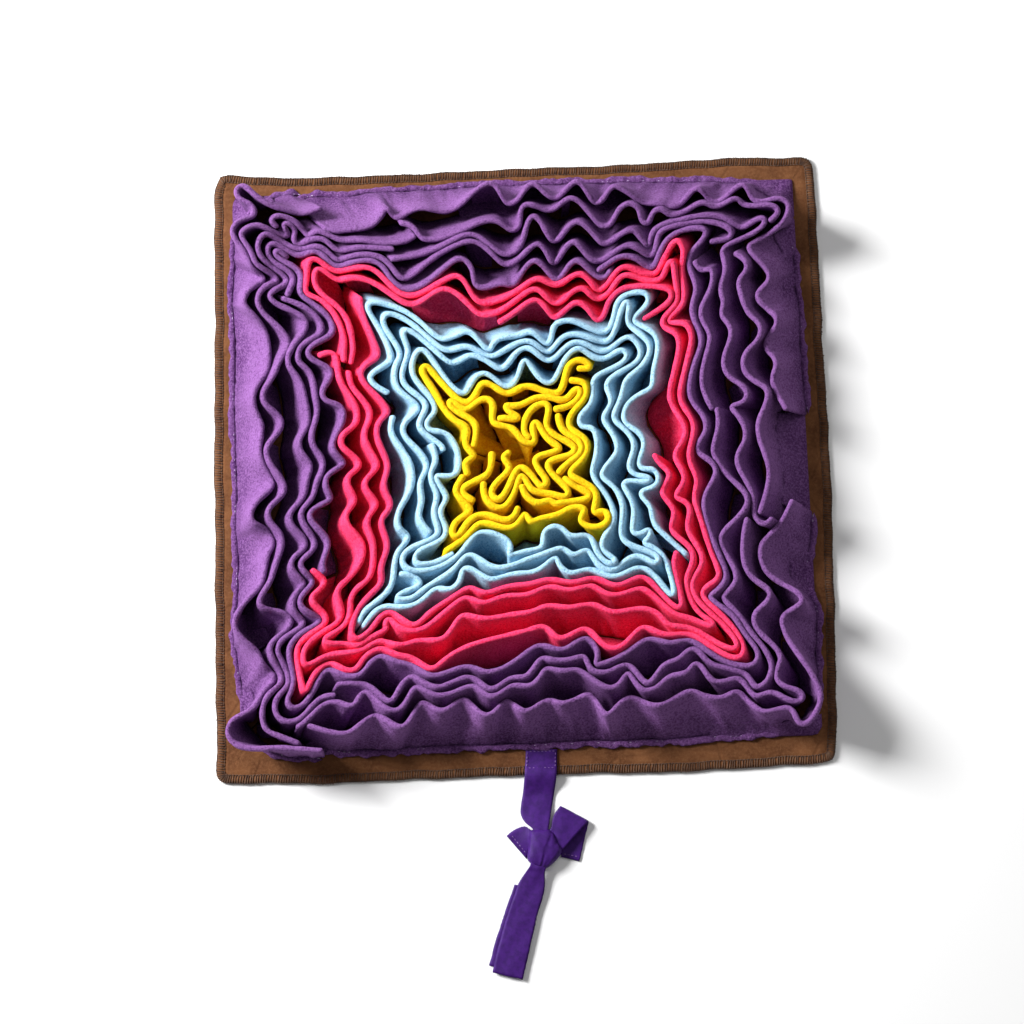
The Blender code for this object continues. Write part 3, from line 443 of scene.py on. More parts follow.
class Curves:
    """Curve arithmetic on rows of points."""

    @staticmethod
    def smooth(points: Any, samples: int) -> Array:
        """Points of a centripetal Catmull-Rom curve through the given ones.

        Args:
            points: the points to pass through.
            samples: samples in each span.

        Returns:
            The curve's points.
        """
        points = np.asarray(points, float)
        ends = np.vstack([2 * points[0] - points[1], points, 2 * points[-1] - points[-2]])
        curve = []
        for index in range(1, len(ends) - 2):
            p0, p1, p2, p3 = ends[index - 1 : index + 3]
            t1 = np.linalg.norm(p1 - p0) ** 0.5
            t2 = t1 + np.linalg.norm(p2 - p1) ** 0.5
            t3 = t2 + np.linalg.norm(p3 - p2) ** 0.5
            for t in np.linspace(t1, t2, samples, endpoint=False):
                a1 = (t1 - t) / t1 * p0 + t / t1 * p1
                a2 = (t2 - t) / (t2 - t1) * p1 + (t - t1) / (t2 - t1) * p2
                a3 = (t3 - t) / (t3 - t2) * p2 + (t - t2) / (t3 - t2) * p3
                b1 = (t2 - t) / t2 * a1 + t / t2 * a2
                b2 = (t3 - t) / (t3 - t1) * a2 + (t - t1) / (t3 - t1) * a3
                curve.append((t2 - t) / (t2 - t1) * b1 + (t - t1) / (t2 - t1) * b2)
        curve.append(points[-1])
        return np.array(curve)

    @staticmethod
    def lengths(path: Array) -> Array:
        """Distance along the path at each of its points."""
        steps = np.linalg.norm(np.diff(path, axis=0), axis=1)
        return np.concatenate([[0.0], np.cumsum(steps)])

    @staticmethod
    def resampled(path: Array, step: float, closed: bool = False) -> Array:
        """The path again with points about one step apart."""
        if closed:
            path = np.vstack([path, path[:1]])
        lengths = Curves.lengths(path)
        count = max(2, int(round(lengths[-1] / step))) + 1
        even = np.linspace(0, lengths[-1], count)
        line = np.stack([np.interp(even, lengths, path[:, k]) for k in range(path.shape[1])], axis=1)
        return line[:-1] if closed else line

    @staticmethod
    def smooth_loop(corners: Array, samples: int, step: float) -> Array:
        """Points about one step apart on a closed smooth curve through the corners."""
        loop = np.vstack([corners[-2:], corners, corners[:2]])
        smooth = Curves.smooth(loop, samples)[2 * samples : -2 * samples]
        return Curves.resampled(smooth, step, closed=True)

    @staticmethod
    def wander(lengths: Array, pitch: float, seed: int, octaves: int = 2) -> Array:
        """A smooth random value from about -1 to 1 along a length, which turns about once a pitch."""
        chance = np.random.default_rng(seed)
        total = np.zeros(len(lengths))
        for octave in range(octaves):
            reach = pitch / 2**octave
            count = int(lengths[-1] / reach) + 4
            knots = chance.uniform(-1, 1, count)
            place = lengths / reach + chance.uniform(0, 1)
            low = np.floor(place).astype(int)
            part = place - low
            part = part * part * (3 - 2 * part)
            low = np.clip(low, 0, count - 2)
            total += ((1 - part) * knots[low] + part * knots[low + 1]) / 2**octave
        return total

    @staticmethod
    def unit(rows: Array) -> Array:
        """Each row scaled to length 1."""
        return rows / np.maximum(np.linalg.norm(rows, axis=-1, keepdims=True), 1e-12)


class Shape:
    """A mesh in the making: points, faces and a value on each point."""

    def __init__(self) -> None:
        """Starts empty."""
        self.points: list[Array] = []
        self.faces: list[list[int]] = []
        self.values: list[Array] = []
        self.weave: list[Array] = []
        self.count = 0

    def add_points(self, points: Array, values: Array | None = None, weave: Array | None = None) -> int:
        """Adds points.

        Args:
            points: positions, a row each.
            values: the value called rise, for each point.
            weave: place along and across the cloth in metres, for each point.

        Returns:
            Index of the first one.
        """
        first = self.count
        self.points.append(np.asarray(points, float).reshape(-1, 3))
        size = len(self.points[-1])
        self.values.append(np.ones(size) if values is None else np.asarray(values, float).reshape(-1))
        self.weave.append(np.zeros((size, 2)) if weave is None else np.asarray(weave, float).reshape(-1, 2))
        self.count += size
        return first

    def add_rings(
        self,
        rings: Array,
        values: Array | None = None,
        weave: Array | None = None,
        closed: bool = True,
        capped: bool = True,
    ) -> None:
        """Adds a skin over rings of points.

        Args:
            rings: positions by ring and by place round the ring.
            values: the value called rise, by ring and place.
            weave: place on the cloth, by ring and place.
            closed: whether each ring closes on itself.
            capped: whether the first and last ring get a face.
        """
        count, size = rings.shape[:2]
        first = self.add_points(rings, values, weave)
        ring = np.arange(count - 1)[:, None] * size
        place = np.arange(size if closed else size - 1)[None]
        after = (place + 1) % size
        quads = np.stack([ring + place, ring + after, ring + size + after, ring + size + place], axis=2)
        self.faces += (quads.reshape(-1, 4) + first).tolist()
        if capped:
            self.faces.append([first + k for k in range(size)][::-1])
            self.faces.append([first + (count - 1) * size + k for k in range(size)])

    def add_tube(self, path: Array, radius: Any, sides: int = 6) -> None:
        """Adds a closed tube along a path.

        Args:
            path: the points it follows.
            radius: one radius or one for each point.
            sides: corners of its section.
        """
        travel = Curves.unit(np.gradient(path, axis=0))
        guide = np.array([0.0, 0.0, 1.0])
        if abs(travel[:, 2]).max() > 0.9:
            guide = np.array([0.31, 0.57, 0.21])
        side = Curves.unit(np.cross(travel, guide))
        over = np.cross(side, travel)
        turn = np.arange(sides) * 2 * math.pi / sides
        radius = np.broadcast_to(radius, len(path))[:, None, None]
        section = np.cos(turn)[:, None] * side[:, None] + np.sin(turn)[:, None] * over[:, None]
        self.add_rings(path[:, None] + radius * section)

    def piece(self, name: str, material: bpy.types.Material) -> bpy.types.Object:
        """The finished object, smooth shaded, faces out.

        Args:
            name: the piece's name.
            material: its finish.

        Returns:
            The object, in the scene.
        """
        mesh = bpy.data.meshes.new(name)
        points = np.vstack(self.points)
        mesh.from_pydata(points.tolist(), [], self.faces)
        mesh.update()
        # rise is the value that the fleece finish turns into painted shade where it is low and painted
        # highlight near 1.
        rise = mesh.attributes.new("rise", "FLOAT", "POINT")
        rise.data.foreach_set("value", np.concatenate(self.values).astype(np.float32))
        corners = np.zeros(len(mesh.loops), np.int32)
        mesh.loops.foreach_get("vertex_index", corners)
        layer = mesh.uv_layers.new(name="weave")
        layer.data.foreach_set("uv", np.vstack(self.weave)[corners].astype(np.float32).ravel())
        mesh.polygons.foreach_set("use_smooth", np.ones(len(mesh.polygons), bool))
        mesh.materials.append(material)
        mesh.update()
        item = bpy.data.objects.new(name, mesh)
        bpy.context.scene.collection.objects.link(item)
        return item


def report(piece: bpy.types.Object) -> None:
    """Logs a finished piece with its face count."""
    log.info("%s: %d faces", piece.name, len(piece.data.polygons))


# ---------------------------------------------------------------------------------------------------- tables

# Corner points of the base's outline on the grid: u, v
BASE_OUTLINE = (
    (221, 178), (265, 178), (305, 178.5), (345, 177.5), (385, 175.5), (425, 174.5), (465, 172), (505, 170),
    (545, 168.5), (585, 167), (625, 165.5), (665, 163), (705, 160), (745, 158.5), (785, 158.5), (805, 158.5),
    (811, 163), (813, 185), (816, 225), (818, 265), (820, 305), (822, 345), (824.5, 385), (827, 425),
    (829.5, 465), (831, 505), (832, 545), (833, 585), (834, 625), (835, 665), (835.5, 705), (835, 745),
    (833, 758), (826, 761.5), (785, 764), (745, 767), (705, 769.5), (665, 771), (625, 772), (585, 772.5),
    (545, 773.5), (505, 775), (465, 776.5), (425, 778), (385, 780), (345, 781.5), (305, 783), (265, 782),
    (225, 782), (219, 778), (217.5, 745), (217, 705), (216.5, 665), (216, 625), (216, 585), (216, 545),
    (215.5, 505), (215, 465), (215, 425), (215.5, 385), (215.5, 345), (215.5, 305), (215.5, 265), (215, 225),
    (216, 188),
)

# Ribbon bands, a row per cross-section: left edge u, v, right edge u, v, height of its middle
RIBBON_BANDS = {
    "ribbon_strap": (
        (525.8, 749.5, 557.0, 749.0, 0.0040),
        (525.5, 760.0, 557.0, 759.5, 0.0040),
        (525.0, 767.0, 556.9, 766.5, 0.0050),
        (524.8, 773.5, 556.8, 773.0, 0.0060),
        (524.3, 779.0, 556.3, 778.5, 0.0052),
        (523.6, 787.0, 555.2, 786.5, 0.0027),
        (522.8, 794.0, 554.1, 793.5, 0.0011),
        (521.0, 805.0, 552.4, 804.5, 0.0011),
        (520.8, 814.0, 551.0, 813.5, 0.0020),
        (524.5, 821.5, 549.8, 821.0, 0.0042),
        (533.5, 830.3, 548.4, 830.0, 0.0062),
    ),
    "ribbon_left_end": (
        (506.5, 836.0, 526.5, 859.0, 0.0009),
        (511.0, 832.0, 527.5, 856.0, 0.0009),
        (518.0, 828.0, 528.0, 852.0, 0.0016),
        (525.0, 826.5, 529.0, 847.0, 0.0030),
        (530.0, 829.5, 530.3, 842.5, 0.0046),
    ),
    "ribbon_right_end": (
        (551.0, 828.0, 561.5, 850.5, 0.0058),
        (552.5, 820.0, 568.0, 844.0, 0.0060),
        (555.0, 813.0, 578.0, 833.0, 0.0056),
        (559.0, 807.6, 587.4, 823.0, 0.0044),
        (560.2, 806.4, 588.6, 821.6, 0.0026),
        (560.4, 810.0, 588.0, 825.0, 0.0010),
        (560.6, 828.0, 584.5, 840.0, 0.0008),
        (561.0, 857.0, 579.5, 861.3, 0.0008),
    ),
    "ribbon_tail_front": (
        (536.2, 864.7, 541.7, 867.7, 0.0072),
        (526.5, 871.0, 544.8, 874.5, 0.0054),
        (519.0, 882.5, 545.0, 884.5, 0.0036),
        (515.0, 893.0, 543.5, 895.0, 0.0030),
        (508.5, 912.0, 537.8, 913.5, 0.0028),
        (504.0, 926.0, 534.6, 928.5, 0.0027),
        (498.3, 947.0, 529.7, 950.0, 0.0027),
        (492.4, 972.5, 522.8, 979.6, 0.0027),
    ),
    "ribbon_tail_back": (
        (514.5, 884.5, 536.0, 888.0, 0.0011),
        (511.5, 893.5, 537.0, 898.0, 0.0009),
        (504.8, 912.5, 532.0, 916.0, 0.0008),
        (500.4, 926.0, 528.5, 930.0, 0.0008),
        (494.9, 943.5, 524.0, 949.0, 0.0008),
        (489.1, 965.5, 519.0, 972.5, 0.0008),
    ),
}

# The knot from its bottom to its top: share of the outline, and height in metres
KNOT_PROFILE = (
    (0.55, 0.0003), (0.90, 0.0005), (0.985, 0.0018), (1.0, 0.0036), (0.985, 0.0054), (0.955, 0.0068),
    (0.91, 0.0080), (0.84, 0.0089), (0.72, 0.0096), (0.58, 0.0101), (0.42, 0.0104), (0.25, 0.0105),
    (0.10, 0.0105),
)

# The knot's folds, measured from its middle: start, end, depth, width, in metres
KNOT_FOLDS = (
    ((0.0075, 0.0125), (-0.0015, -0.0135), 0.0011, 0.0012),
    ((0.0110, 0.0040), (0.0010, -0.0140), 0.0009, 0.0011),
    ((-0.0080, 0.0100), (-0.0035, -0.0105), 0.0006, 0.0014),
    ((-0.0065, 0.0118), (0.0065, 0.0122), 0.0009, 0.0009),
)

# Stitch rows on the ribbon: both ends' u, v and height
RIBBON_SEAMS = (
    ((528.0, 751.5, 0.0040), (555.0, 751.0, 0.0040)),
    ((527.0, 768.0, 0.0050), (555.0, 767.5, 0.0050)),
    ((527.2, 751.0, 0.0040), (526.8, 767.5, 0.0050)),
    ((555.4, 751.0, 0.0040), (555.2, 767.5, 0.0050)),
    ((511.0, 834.5, 0.0009), (527.5, 855.0, 0.0009)),
    ((562.0, 853.5, 0.0008), (580.0, 857.0, 0.0008)),
)

# Outline of the knot's front turn: u, v
KNOT_OUTLINE = (
    (530.0, 831.0), (541.0, 829.0), (551.5, 830.0), (557.5, 840.0), (562.0, 850.5), (557.0, 859.5),
    (545.5, 868.5), (536.5, 867.0), (527.8, 860.0), (528.6, 846.0),
)

# Sections that carry a band on under the knot. The strap and the left end go on from their last one. In the
# other bands, they come first: the first is new, and each further one takes the place of a section.
RIBBON_TUCKS = {
    "ribbon_strap": ((532.6, 839.5, 550.0, 839.0, 0.0066),),
    "ribbon_left_end": ((535.0, 832.0, 535.4, 845.0, 0.0052),),
    "ribbon_right_end": ((544.5, 834.0, 553.0, 853.0, 0.0052),),
    "ribbon_tail_front": ((532.5, 857.0, 547.5, 858.0, 0.0064), (529.6, 866.5, 546.0, 867.0, 0.0070)),
}

# Fleece strips, four numbers a fold: u, v where the rim swings out, then u, v where it swings back in
LAYOUT = {
    "purple_1": (
        (321, 748, 300, 747), (278, 746, 256, 748), (241, 747, 231, 741), (227, 731, 231, 721),
        (243, 714, 256, 706), (262, 692, 279, 678), (278, 672, 262, 664), (258, 652, 245, 641),
        (234, 628, 235, 617), (246, 600, 261, 586), (265, 568, 268, 552), (275, 544, 267, 528),
        (253, 523, 250, 514), (258, 499, 273, 487), (271, 476, 258, 455), (262, 432, 261, 421),
        (252, 402, 256, 387), (269, 373, 270, 358), (266, 330, 252, 313), (243, 303, 247, 291),
        (268, 278, 251, 268), (247, 253, 236, 240), (231, 230, 239, 219), (254, 216, 254, 206),
        (241, 199, 235, 191), (243, 184, 252, 193), (268, 205, 285, 212), (304, 220, 322, 221),
    ),
    "purple_2": (
        (322, 225, 336, 231), (352, 229, 370, 227), (380, 218, 387, 206), (396, 220, 408, 212),
        (423, 207, 444, 212), (459, 206, 475, 190), (491, 181, 499, 189), (507, 204, 518, 200),
        (526, 187, 534, 182), (545, 193, 556, 199), (566, 189, 577, 179), (586, 190, 596, 204),
        (604, 198, 613, 184), (625, 191, 645, 205), (659, 202, 677, 208), (691, 191, 699, 187),
        (710, 200, 720, 203), (736, 188, 746, 184), (752, 199, 762, 202), (777, 197, 788, 201),
        (788, 212, 775, 227), (757, 236, 748, 244), (752, 254, 771, 273), (766, 284, 756, 294),
        (762, 304, 778, 317), (775, 328, 763, 345), (774, 356, 777, 366), (771, 380, 786, 408),
    ),
    "purple_3": (
        (791, 500, 780, 522), (767, 535, 760, 547), (764, 570, 780, 582), (801, 594, 803, 603),
        (788, 611, 781, 620), (790, 642, 808, 667), (821, 690, 820, 706), (808, 724, 798, 723),
        (793, 706, 778, 708), (764, 711, 750, 700), (739, 688, 726, 697), (706, 697, 693, 689),
        (677, 697, 658, 707), (642, 701, 631, 696), (619, 704, 607, 717), (599, 705, 590, 693),
        (575, 700, 561, 704), (549, 699, 536, 707), (523, 713, 507, 698), (496, 712, 484, 716),
        (470, 702, 461, 696), (450, 709, 437, 711), (421, 700, 413, 716), (402, 729, 387, 720),
        (375, 714, 360, 725), (346, 737, 306, 731),
    ),
    "purple_4": (
        (299, 740, 280, 735), (265, 730, 262, 714), (267, 696, 285, 685), (286, 672, 270, 656),
        (269, 643, 289, 629), (291, 618, 280, 611), (262, 608, 258, 600), (271, 581, 275, 564),
        (282, 545, 279, 532), (267, 519, 268, 507), (284, 494, 284, 481), (270, 464, 265, 447),
        (280, 431, 282, 417), (264, 404, 261, 391), (272, 375, 278, 357), (290, 346, 284, 331),
        (265, 315, 256, 300), (264, 286, 280, 280), (273, 270, 255, 264), (252, 250, 240, 236),
        (243, 229, 257, 226), (268, 231, 282, 238), (288, 236, 283, 225), (287, 221, 297, 227),
        (292, 239, 298, 248), (311, 241, 326, 239), (337, 252, 358, 246), (376, 247, 392, 248),
    ),
    "purple_5": (
        (275, 228, 271, 221), (276, 215, 295, 221), (304, 237, 310, 235), (320, 228, 333, 236),
        (343, 241, 360, 240), (377, 243, 396, 243), (408, 240, 414, 236),
    ),
    "purple_6": (
        (401, 222, 414, 226), (420, 237, 431, 241), (460, 232, 480, 222), (498, 220, 511, 231),
        (520, 226, 520, 209), (528, 202, 550, 212), (563, 201, 573, 196), (588, 210, 601, 226),
        (611, 225, 618, 209), (629, 202, 640, 206), (642, 221, 649, 223), (652, 212, 661, 208),
        (671, 217, 686, 212), (702, 200, 716, 207), (736, 195, 744, 208), (757, 208, 774, 205),
        (780, 213, 773, 223),
    ),
    "purple_7": (
        (736, 253, 747, 261), (746, 272, 738, 279), (743, 299, 748, 313), (762, 325, 759, 340),
        (744, 353, 744, 371), (756, 382, 769, 389), (765, 407, 758, 422), (760, 441, 768, 460),
        (770, 480, 760, 512),
    ),
    "purple_8": (
        (747, 519, 743, 540), (745, 568, 756, 581), (771, 590, 768, 602), (754, 613, 754, 630),
        (770, 642, 783, 658), (776, 671, 779, 685), (803, 691, 802, 702), (788, 701, 772, 690),
        (755, 699, 748, 688), (740, 675, 727, 680), (711, 681, 702, 665), (694, 663, 687, 674),
        (670, 675, 659, 686), (644, 690, 634, 677), (628, 670, 620, 685), (608, 688, 590, 676),
        (578, 668, 563, 672), (546, 667, 540, 678), (530, 687, 513, 684), (501, 693, 489, 698),
        (476, 686, 462, 689), (442, 694, 427, 688), (416, 684, 408, 699), (398, 711, 383, 707),
        (372, 693, 362, 691), (354, 707, 340, 700), (327, 700, 313, 713), (304, 723, 298, 727),
    ),
    "purple_9": (
        (333, 697, 320, 698), (308, 710, 297, 721), (281, 721, 272, 707), (276, 695, 288, 686),
        (288, 674, 281, 662), (275, 650, 283, 638), (301, 629, 305, 621), (292, 610, 294, 594),
        (306, 583, 299, 576), (291, 566, 294, 556), (305, 549, 305, 538), (291, 525, 289, 512),
        (305, 497, 306, 480), (312, 465, 302, 453), (298, 440, 309, 425), (306, 402, 300, 378),
        (290, 367, 289, 356), (294, 345, 305, 334), (308, 319, 294, 309), (278, 303, 269, 294),
        (273, 288, 287, 284), (289, 277, 266, 261), (257, 246, 264, 232), (280, 241, 296, 252),
        (318, 244, 330, 254), (339, 263, 355, 254), (384, 256, 395, 272), (404, 281, 425, 264),
        (445, 250, 472, 239), (488, 248, 505, 266), (520, 257, 536, 241), (545, 249, 554, 266),
        (565, 247, 575, 240), (586, 255, 599, 265), (622, 247, 633, 245), (652, 258, 656, 246),
        (658, 229, 688, 223), (712, 221, 733, 229), (730, 240, 722, 241), (717, 241, 712, 241),
    ),
    "purple_10": (
        (390, 260, 420, 255), (443, 245, 468, 232), (483, 238, 505, 258), (522, 248, 527, 222),
        (534, 214, 544, 226), (554, 245, 569, 225), (580, 220, 597, 238), (606, 246, 631, 226),
        (645, 240, 654, 248), (652, 228, 680, 221), (702, 214, 727, 218), (741, 229, 752, 219),
        (763, 213, 765, 226), (740, 239, 719, 247), (728, 267, 719, 287), (725, 302, 720, 315),
        (735, 330, 722, 358), (728, 377, 748, 388), (745, 403, 729, 405), (743, 420, 747, 440),
        (734, 458, 748, 484), (754, 498, 754, 516), (765, 525, 774, 520),
    ),
    "purple_11": (
        (286, 294, 290, 287), (295, 276, 285, 267), (272, 260, 266, 249), (271, 242, 286, 249),
        (299, 257, 315, 250), (326, 258, 336, 268), (352, 262, 370, 259), (386, 266, 391, 280),
        (407, 291, 425, 286), (443, 270, 461, 256), (473, 268, 474, 285), (486, 288, 503, 282),
        (514, 287, 524, 268), (536, 258, 549, 274), (559, 283, 571, 263), (581, 258, 596, 275),
        (605, 278, 611, 271),
    ),
    "purple_12": (
        (717, 409, 719, 426), (712, 448, 714, 458), (728, 478, 747, 492), (748, 506, 733, 522),
        (720, 536, 722, 549), (737, 572, 735, 586), (721, 597, 738, 612), (751, 632, 766, 647),
        (773, 665, 768, 681), (755, 689, 748, 674), (730, 669, 709, 664), (698, 649, 689, 649),
        (680, 659, 666, 663), (657, 674, 650, 685), (639, 680, 630, 665), (618, 667, 606, 672),
        (589, 668, 586, 655), (571, 660, 552, 660), (542, 657, 534, 668), (525, 678, 512, 676),
        (497, 688, 487, 689), (473, 675, 450, 684), (436, 690, 422, 682), (411, 675, 400, 686),
        (391, 704, 378, 693), (364, 683, 338, 684),
    ),
    "purple_13": (
        (283, 299, 304, 306), (321, 320, 322, 335), (304, 342, 297, 350), (298, 362, 313, 371),
        (316, 395, 320, 413), (309, 440, 322, 456), (324, 467, 316, 483), (314, 497, 300, 511),
        (303, 523, 315, 540), (313, 550, 300, 560), (301, 570, 314, 580), (307, 589, 299, 599),
        (303, 610, 322, 618), (317, 626, 296, 635), (288, 652, 294, 682), (285, 701, 295, 710),
        (307, 703, 318, 680), (327, 666, 345, 675), (361, 675, 369, 663), (382, 653, 397, 661),
        (414, 663, 430, 677), (452, 670, 471, 665), (487, 674, 511, 664), (526, 653, 541, 643),
        (563, 652, 578, 640), (591, 637, 600, 653), (594, 667, 612, 661), (634, 648, 650, 636),
        (671, 644, 691, 636), (708, 649, 731, 663), (754, 666, 760, 652), (745, 634, 735, 615),
        (716, 606, 705, 596), (717, 589, 727, 577), (720, 558, 709, 532), (702, 496, 718, 475),
        (714, 460, 697, 452), (700, 440, 707, 430), (704, 415, 692, 402), (689, 385, 696, 358),
        (703, 340, 695, 322), (691, 306, 698, 288), (687, 265, 689, 252), (702, 240, 707, 229),
        (690, 226, 661, 240), (656, 268, 647, 272), (633, 256, 618, 255), (608, 262, 598, 269),
    ),
    "purple_14": (
        (287, 255, 275, 249), (276, 257, 292, 262), (301, 277, 298, 293), (315, 303, 334, 320),
        (333, 334, 313, 343), (307, 352, 313, 360), (331, 368, 330, 379), (320, 392, 326, 401),
        (342, 405, 346, 419), (336, 437, 333, 451), (348, 463, 327, 473), (325, 487, 333, 499),
        (316, 506, 308, 515), (318, 528, 330, 541), (323, 560, 323, 566), (323, 568, 324, 571),
    ),
    "purple_15": (
        (695, 262, 702, 271), (713, 267, 711, 290), (701, 306, 702, 321), (712, 335, 705, 358),
        (701, 385, 712, 408),
    ),
    "red_1": (
        (313, 570, 326, 580), (320, 589, 309, 599), (325, 613, 326, 625), (302, 637, 295, 653),
        (301, 686, 306, 693), (314, 673, 331, 661), (344, 671, 357, 670), (364, 656, 382, 646),
        (397, 655, 413, 657), (431, 673, 445, 659), (467, 646, 500, 637), (530, 630, 546, 625),
        (557, 639, 570, 636), (586, 627, 602, 646), (620, 649, 634, 634), (645, 625, 664, 637),
        (690, 630, 709, 645), (733, 660, 745, 654), (736, 631, 717, 611), (700, 596, 708, 586),
        (723, 577, 712, 553), (703, 521, 693, 498), (699, 480, 688, 460), (692, 440, 695, 422),
        (680, 402, 681, 385), (690, 350, 692, 335), (686, 322, 668, 323), (670, 314, 684, 304),
        (677, 270, 686, 252), (676, 237, 663, 255), (657, 277, 641, 273), (622, 262, 608, 284),
        (598, 291, 590, 280), (576, 269, 556, 287), (537, 275, 519, 290), (485, 305, 472, 296),
        (460, 272, 440, 281), (412, 297, 394, 290), (374, 266, 352, 266), (334, 271, 318, 257),
        (307, 260, 306, 280), (304, 294, 318, 299), (333, 313, 345, 338), (344, 349, 344, 360),
    ),
    "red_2": (
        (320, 355, 333, 351), (338, 364, 339, 379), (350, 395, 358, 410), (356, 425, 341, 433),
        (340, 446, 357, 457), (360, 467, 348, 475), (348, 486, 357, 500), (345, 513, 348, 526),
        (362, 540, 364, 556), (350, 578, 336, 589), (342, 606, 343, 620), (322, 632, 303, 648),
        (303, 664, 314, 666), (330, 656, 360, 651), (371, 641, 381, 638), (400, 648, 418, 639),
        (442, 641, 453, 627), (463, 613, 483, 620), (510, 614, 530, 613), (549, 604, 569, 609),
        (595, 602, 612, 614), (640, 607, 660, 613), (668, 629, 692, 626), (713, 640, 732, 649),
        (740, 645, 727, 628), (709, 611, 693, 594), (689, 580, 701, 566), (701, 552, 685, 529),
        (691, 512, 687, 501), (674, 497, 685, 482), (683, 470, 673, 455), (684, 440, 686, 425),
        (669, 402, 671, 383), (680, 348, 677, 333), (665, 328, 661, 318), (676, 306, 677, 285),
        (676, 268, 672, 258), (666, 264, 662, 277), (645, 280, 622, 272), (612, 292, 597, 302),
        (584, 287, 572, 291), (555, 308, 538, 286), (522, 295, 500, 312), (480, 316, 468, 303),
        (448, 287, 432, 293), (414, 306, 394, 294), (372, 279, 350, 277), (338, 281, 322, 268),
        (315, 270, 315, 285), (325, 297, 345, 312), (352, 335, 353, 350), (352, 356, 351, 362),
    ),
    "red_3": (
        (349, 372, 351, 386), (366, 402, 372, 416), (362, 435, 374, 455), (379, 467, 364, 480),
        (367, 491, 379, 504), (365, 519, 373, 538), (374, 553, 371, 578), (354, 588, 349, 600),
        (350, 615, 339, 629), (322, 637, 330, 644), (345, 642, 358, 647), (370, 639, 390, 633),
        (385, 622, 391, 617), (400, 628, 420, 630), (436, 619, 452, 606), (467, 595, 483, 605),
        (505, 594, 529, 596), (549, 584, 571, 592), (592, 583, 607, 595), (627, 592, 645, 584),
        (659, 599, 676, 619), (690, 621, 712, 630), (715, 621, 700, 612), (683, 582, 692, 563),
        (690, 546, 668, 530), (677, 512, 664, 497), (662, 488, 672, 474), (660, 464, 655, 455),
    ),
    "red_4": (
        (679, 549, 674, 564), (682, 588, 687, 602), (676, 609, 662, 595), (648, 576, 637, 576),
        (617, 587, 596, 574), (575, 584, 551, 578), (530, 585, 508, 585), (484, 595, 471, 585),
        (452, 598, 430, 611), (417, 626, 405, 624), (392, 610, 381, 614), (373, 628, 358, 641),
        (350, 634, 355, 613), (370, 595, 384, 582), (380, 566, 390, 545), (381, 524, 383, 516),
        (393, 504, 383, 487), (386, 476, 389, 462), (376, 437, 379, 420), (390, 412, 378, 396),
        (360, 378, 364, 365), (380, 357, 374, 339), (362, 310, 362, 298),
    ),
    "blue_1": (
        (387, 392, 371, 382), (370, 374, 391, 363), (392, 354, 379, 327), (366, 308, 371, 301),
        (398, 308, 420, 323), (438, 341, 450, 339), (468, 330, 477, 341), (488, 355, 493, 343),
        (503, 337, 519, 336), (532, 330, 547, 346), (552, 335, 553, 324), (568, 319, 586, 326),
        (607, 335, 615, 316), (617, 300, 632, 291), (648, 293, 648, 305), (632, 317, 635, 325),
        (655, 332, 657, 350), (651, 372, 653, 388), (638, 394, 624, 408), (625, 424, 641, 432),
        (645, 447, 638, 462), (643, 469, 653, 468), (659, 476, 656, 486), (645, 489, 641, 494),
        (645, 500, 652, 508), (653, 525, 671, 543), (680, 549, 689, 555),
    ),
    "blue_2": (
        (430, 532, 420, 520), (419, 511, 423, 499), (420, 482, 430, 467), (421, 451, 404, 436),
        (403, 423, 418, 411), (417, 403, 396, 389), (394, 366, 402, 354), (391, 337, 382, 321),
        (387, 312, 409, 320), (430, 338, 449, 352), (468, 342, 490, 356), (504, 349, 530, 337),
        (547, 357, 561, 336), (580, 334, 605, 344), (613, 334, 619, 312), (626, 300, 631, 307),
        (627, 322, 645, 334), (653, 348, 641, 368), (624, 380, 622, 398), (611, 418, 626, 429),
        (636, 446, 628, 465), (634, 475, 651, 477), (648, 482, 630, 479), (622, 484, 633, 500),
        (634, 519, 632, 532), (641, 534, 650, 528), (650, 537, 641, 545), (660, 549, 671, 568),
        (676, 592, 668, 597), (657, 577, 640, 564), (615, 579, 592, 565), (572, 575, 559, 565),
        (556, 555, 541, 570), (525, 573, 508, 574), (491, 581, 476, 570), (462, 567, 461, 581),
        (449, 590, 435, 584), (424, 599, 403, 607), (381, 605, 364, 625),
    ),
    "blue_3": (
        (358, 622, 364, 609), (378, 600, 394, 586), (396, 566, 399, 552), (410, 542, 409, 535),
        (399, 528, 397, 517), (402, 504, 411, 490), (413, 470, 405, 452), (390, 432, 393, 417),
    ),
    "blue_4": (
        (402, 572, 416, 575), (423, 586, 405, 591), (395, 598, 411, 602), (426, 586, 444, 578),
        (457, 569, 469, 552), (484, 562, 499, 569), (525, 558, 548, 551), (563, 545, 574, 557),
        (588, 547, 594, 564), (611, 571, 622, 558), (638, 551, 656, 565), (660, 556, 645, 547),
        (623, 538, 622, 521), (624, 505, 614, 485), (600, 476, 609, 462), (619, 450, 612, 431),
        (601, 417, 614, 402), (605, 386, 613, 375), (639, 361, 641, 348), (628, 334, 614, 345),
        (601, 353, 581, 342), (566, 348, 550, 366), (531, 345, 515, 352), (503, 371, 490, 360),
        (472, 350, 452, 367), (438, 354, 408, 327), (402, 334, 411, 350), (404, 368, 404, 385),
        (427, 400, 427, 412), (419, 425, 434, 436), (443, 444, 443, 449),
    ),
    "blue_5": (
        (433, 444, 439, 462), (429, 475, 440, 494), (432, 511, 441, 532), (426, 541, 405, 549),
        (400, 561, 410, 571), (436, 567, 457, 556), (470, 539, 480, 530), (505, 537, 512, 546),
        (508, 556, 526, 551), (545, 549, 542, 530), (562, 525, 570, 538), (592, 533, 596, 551),
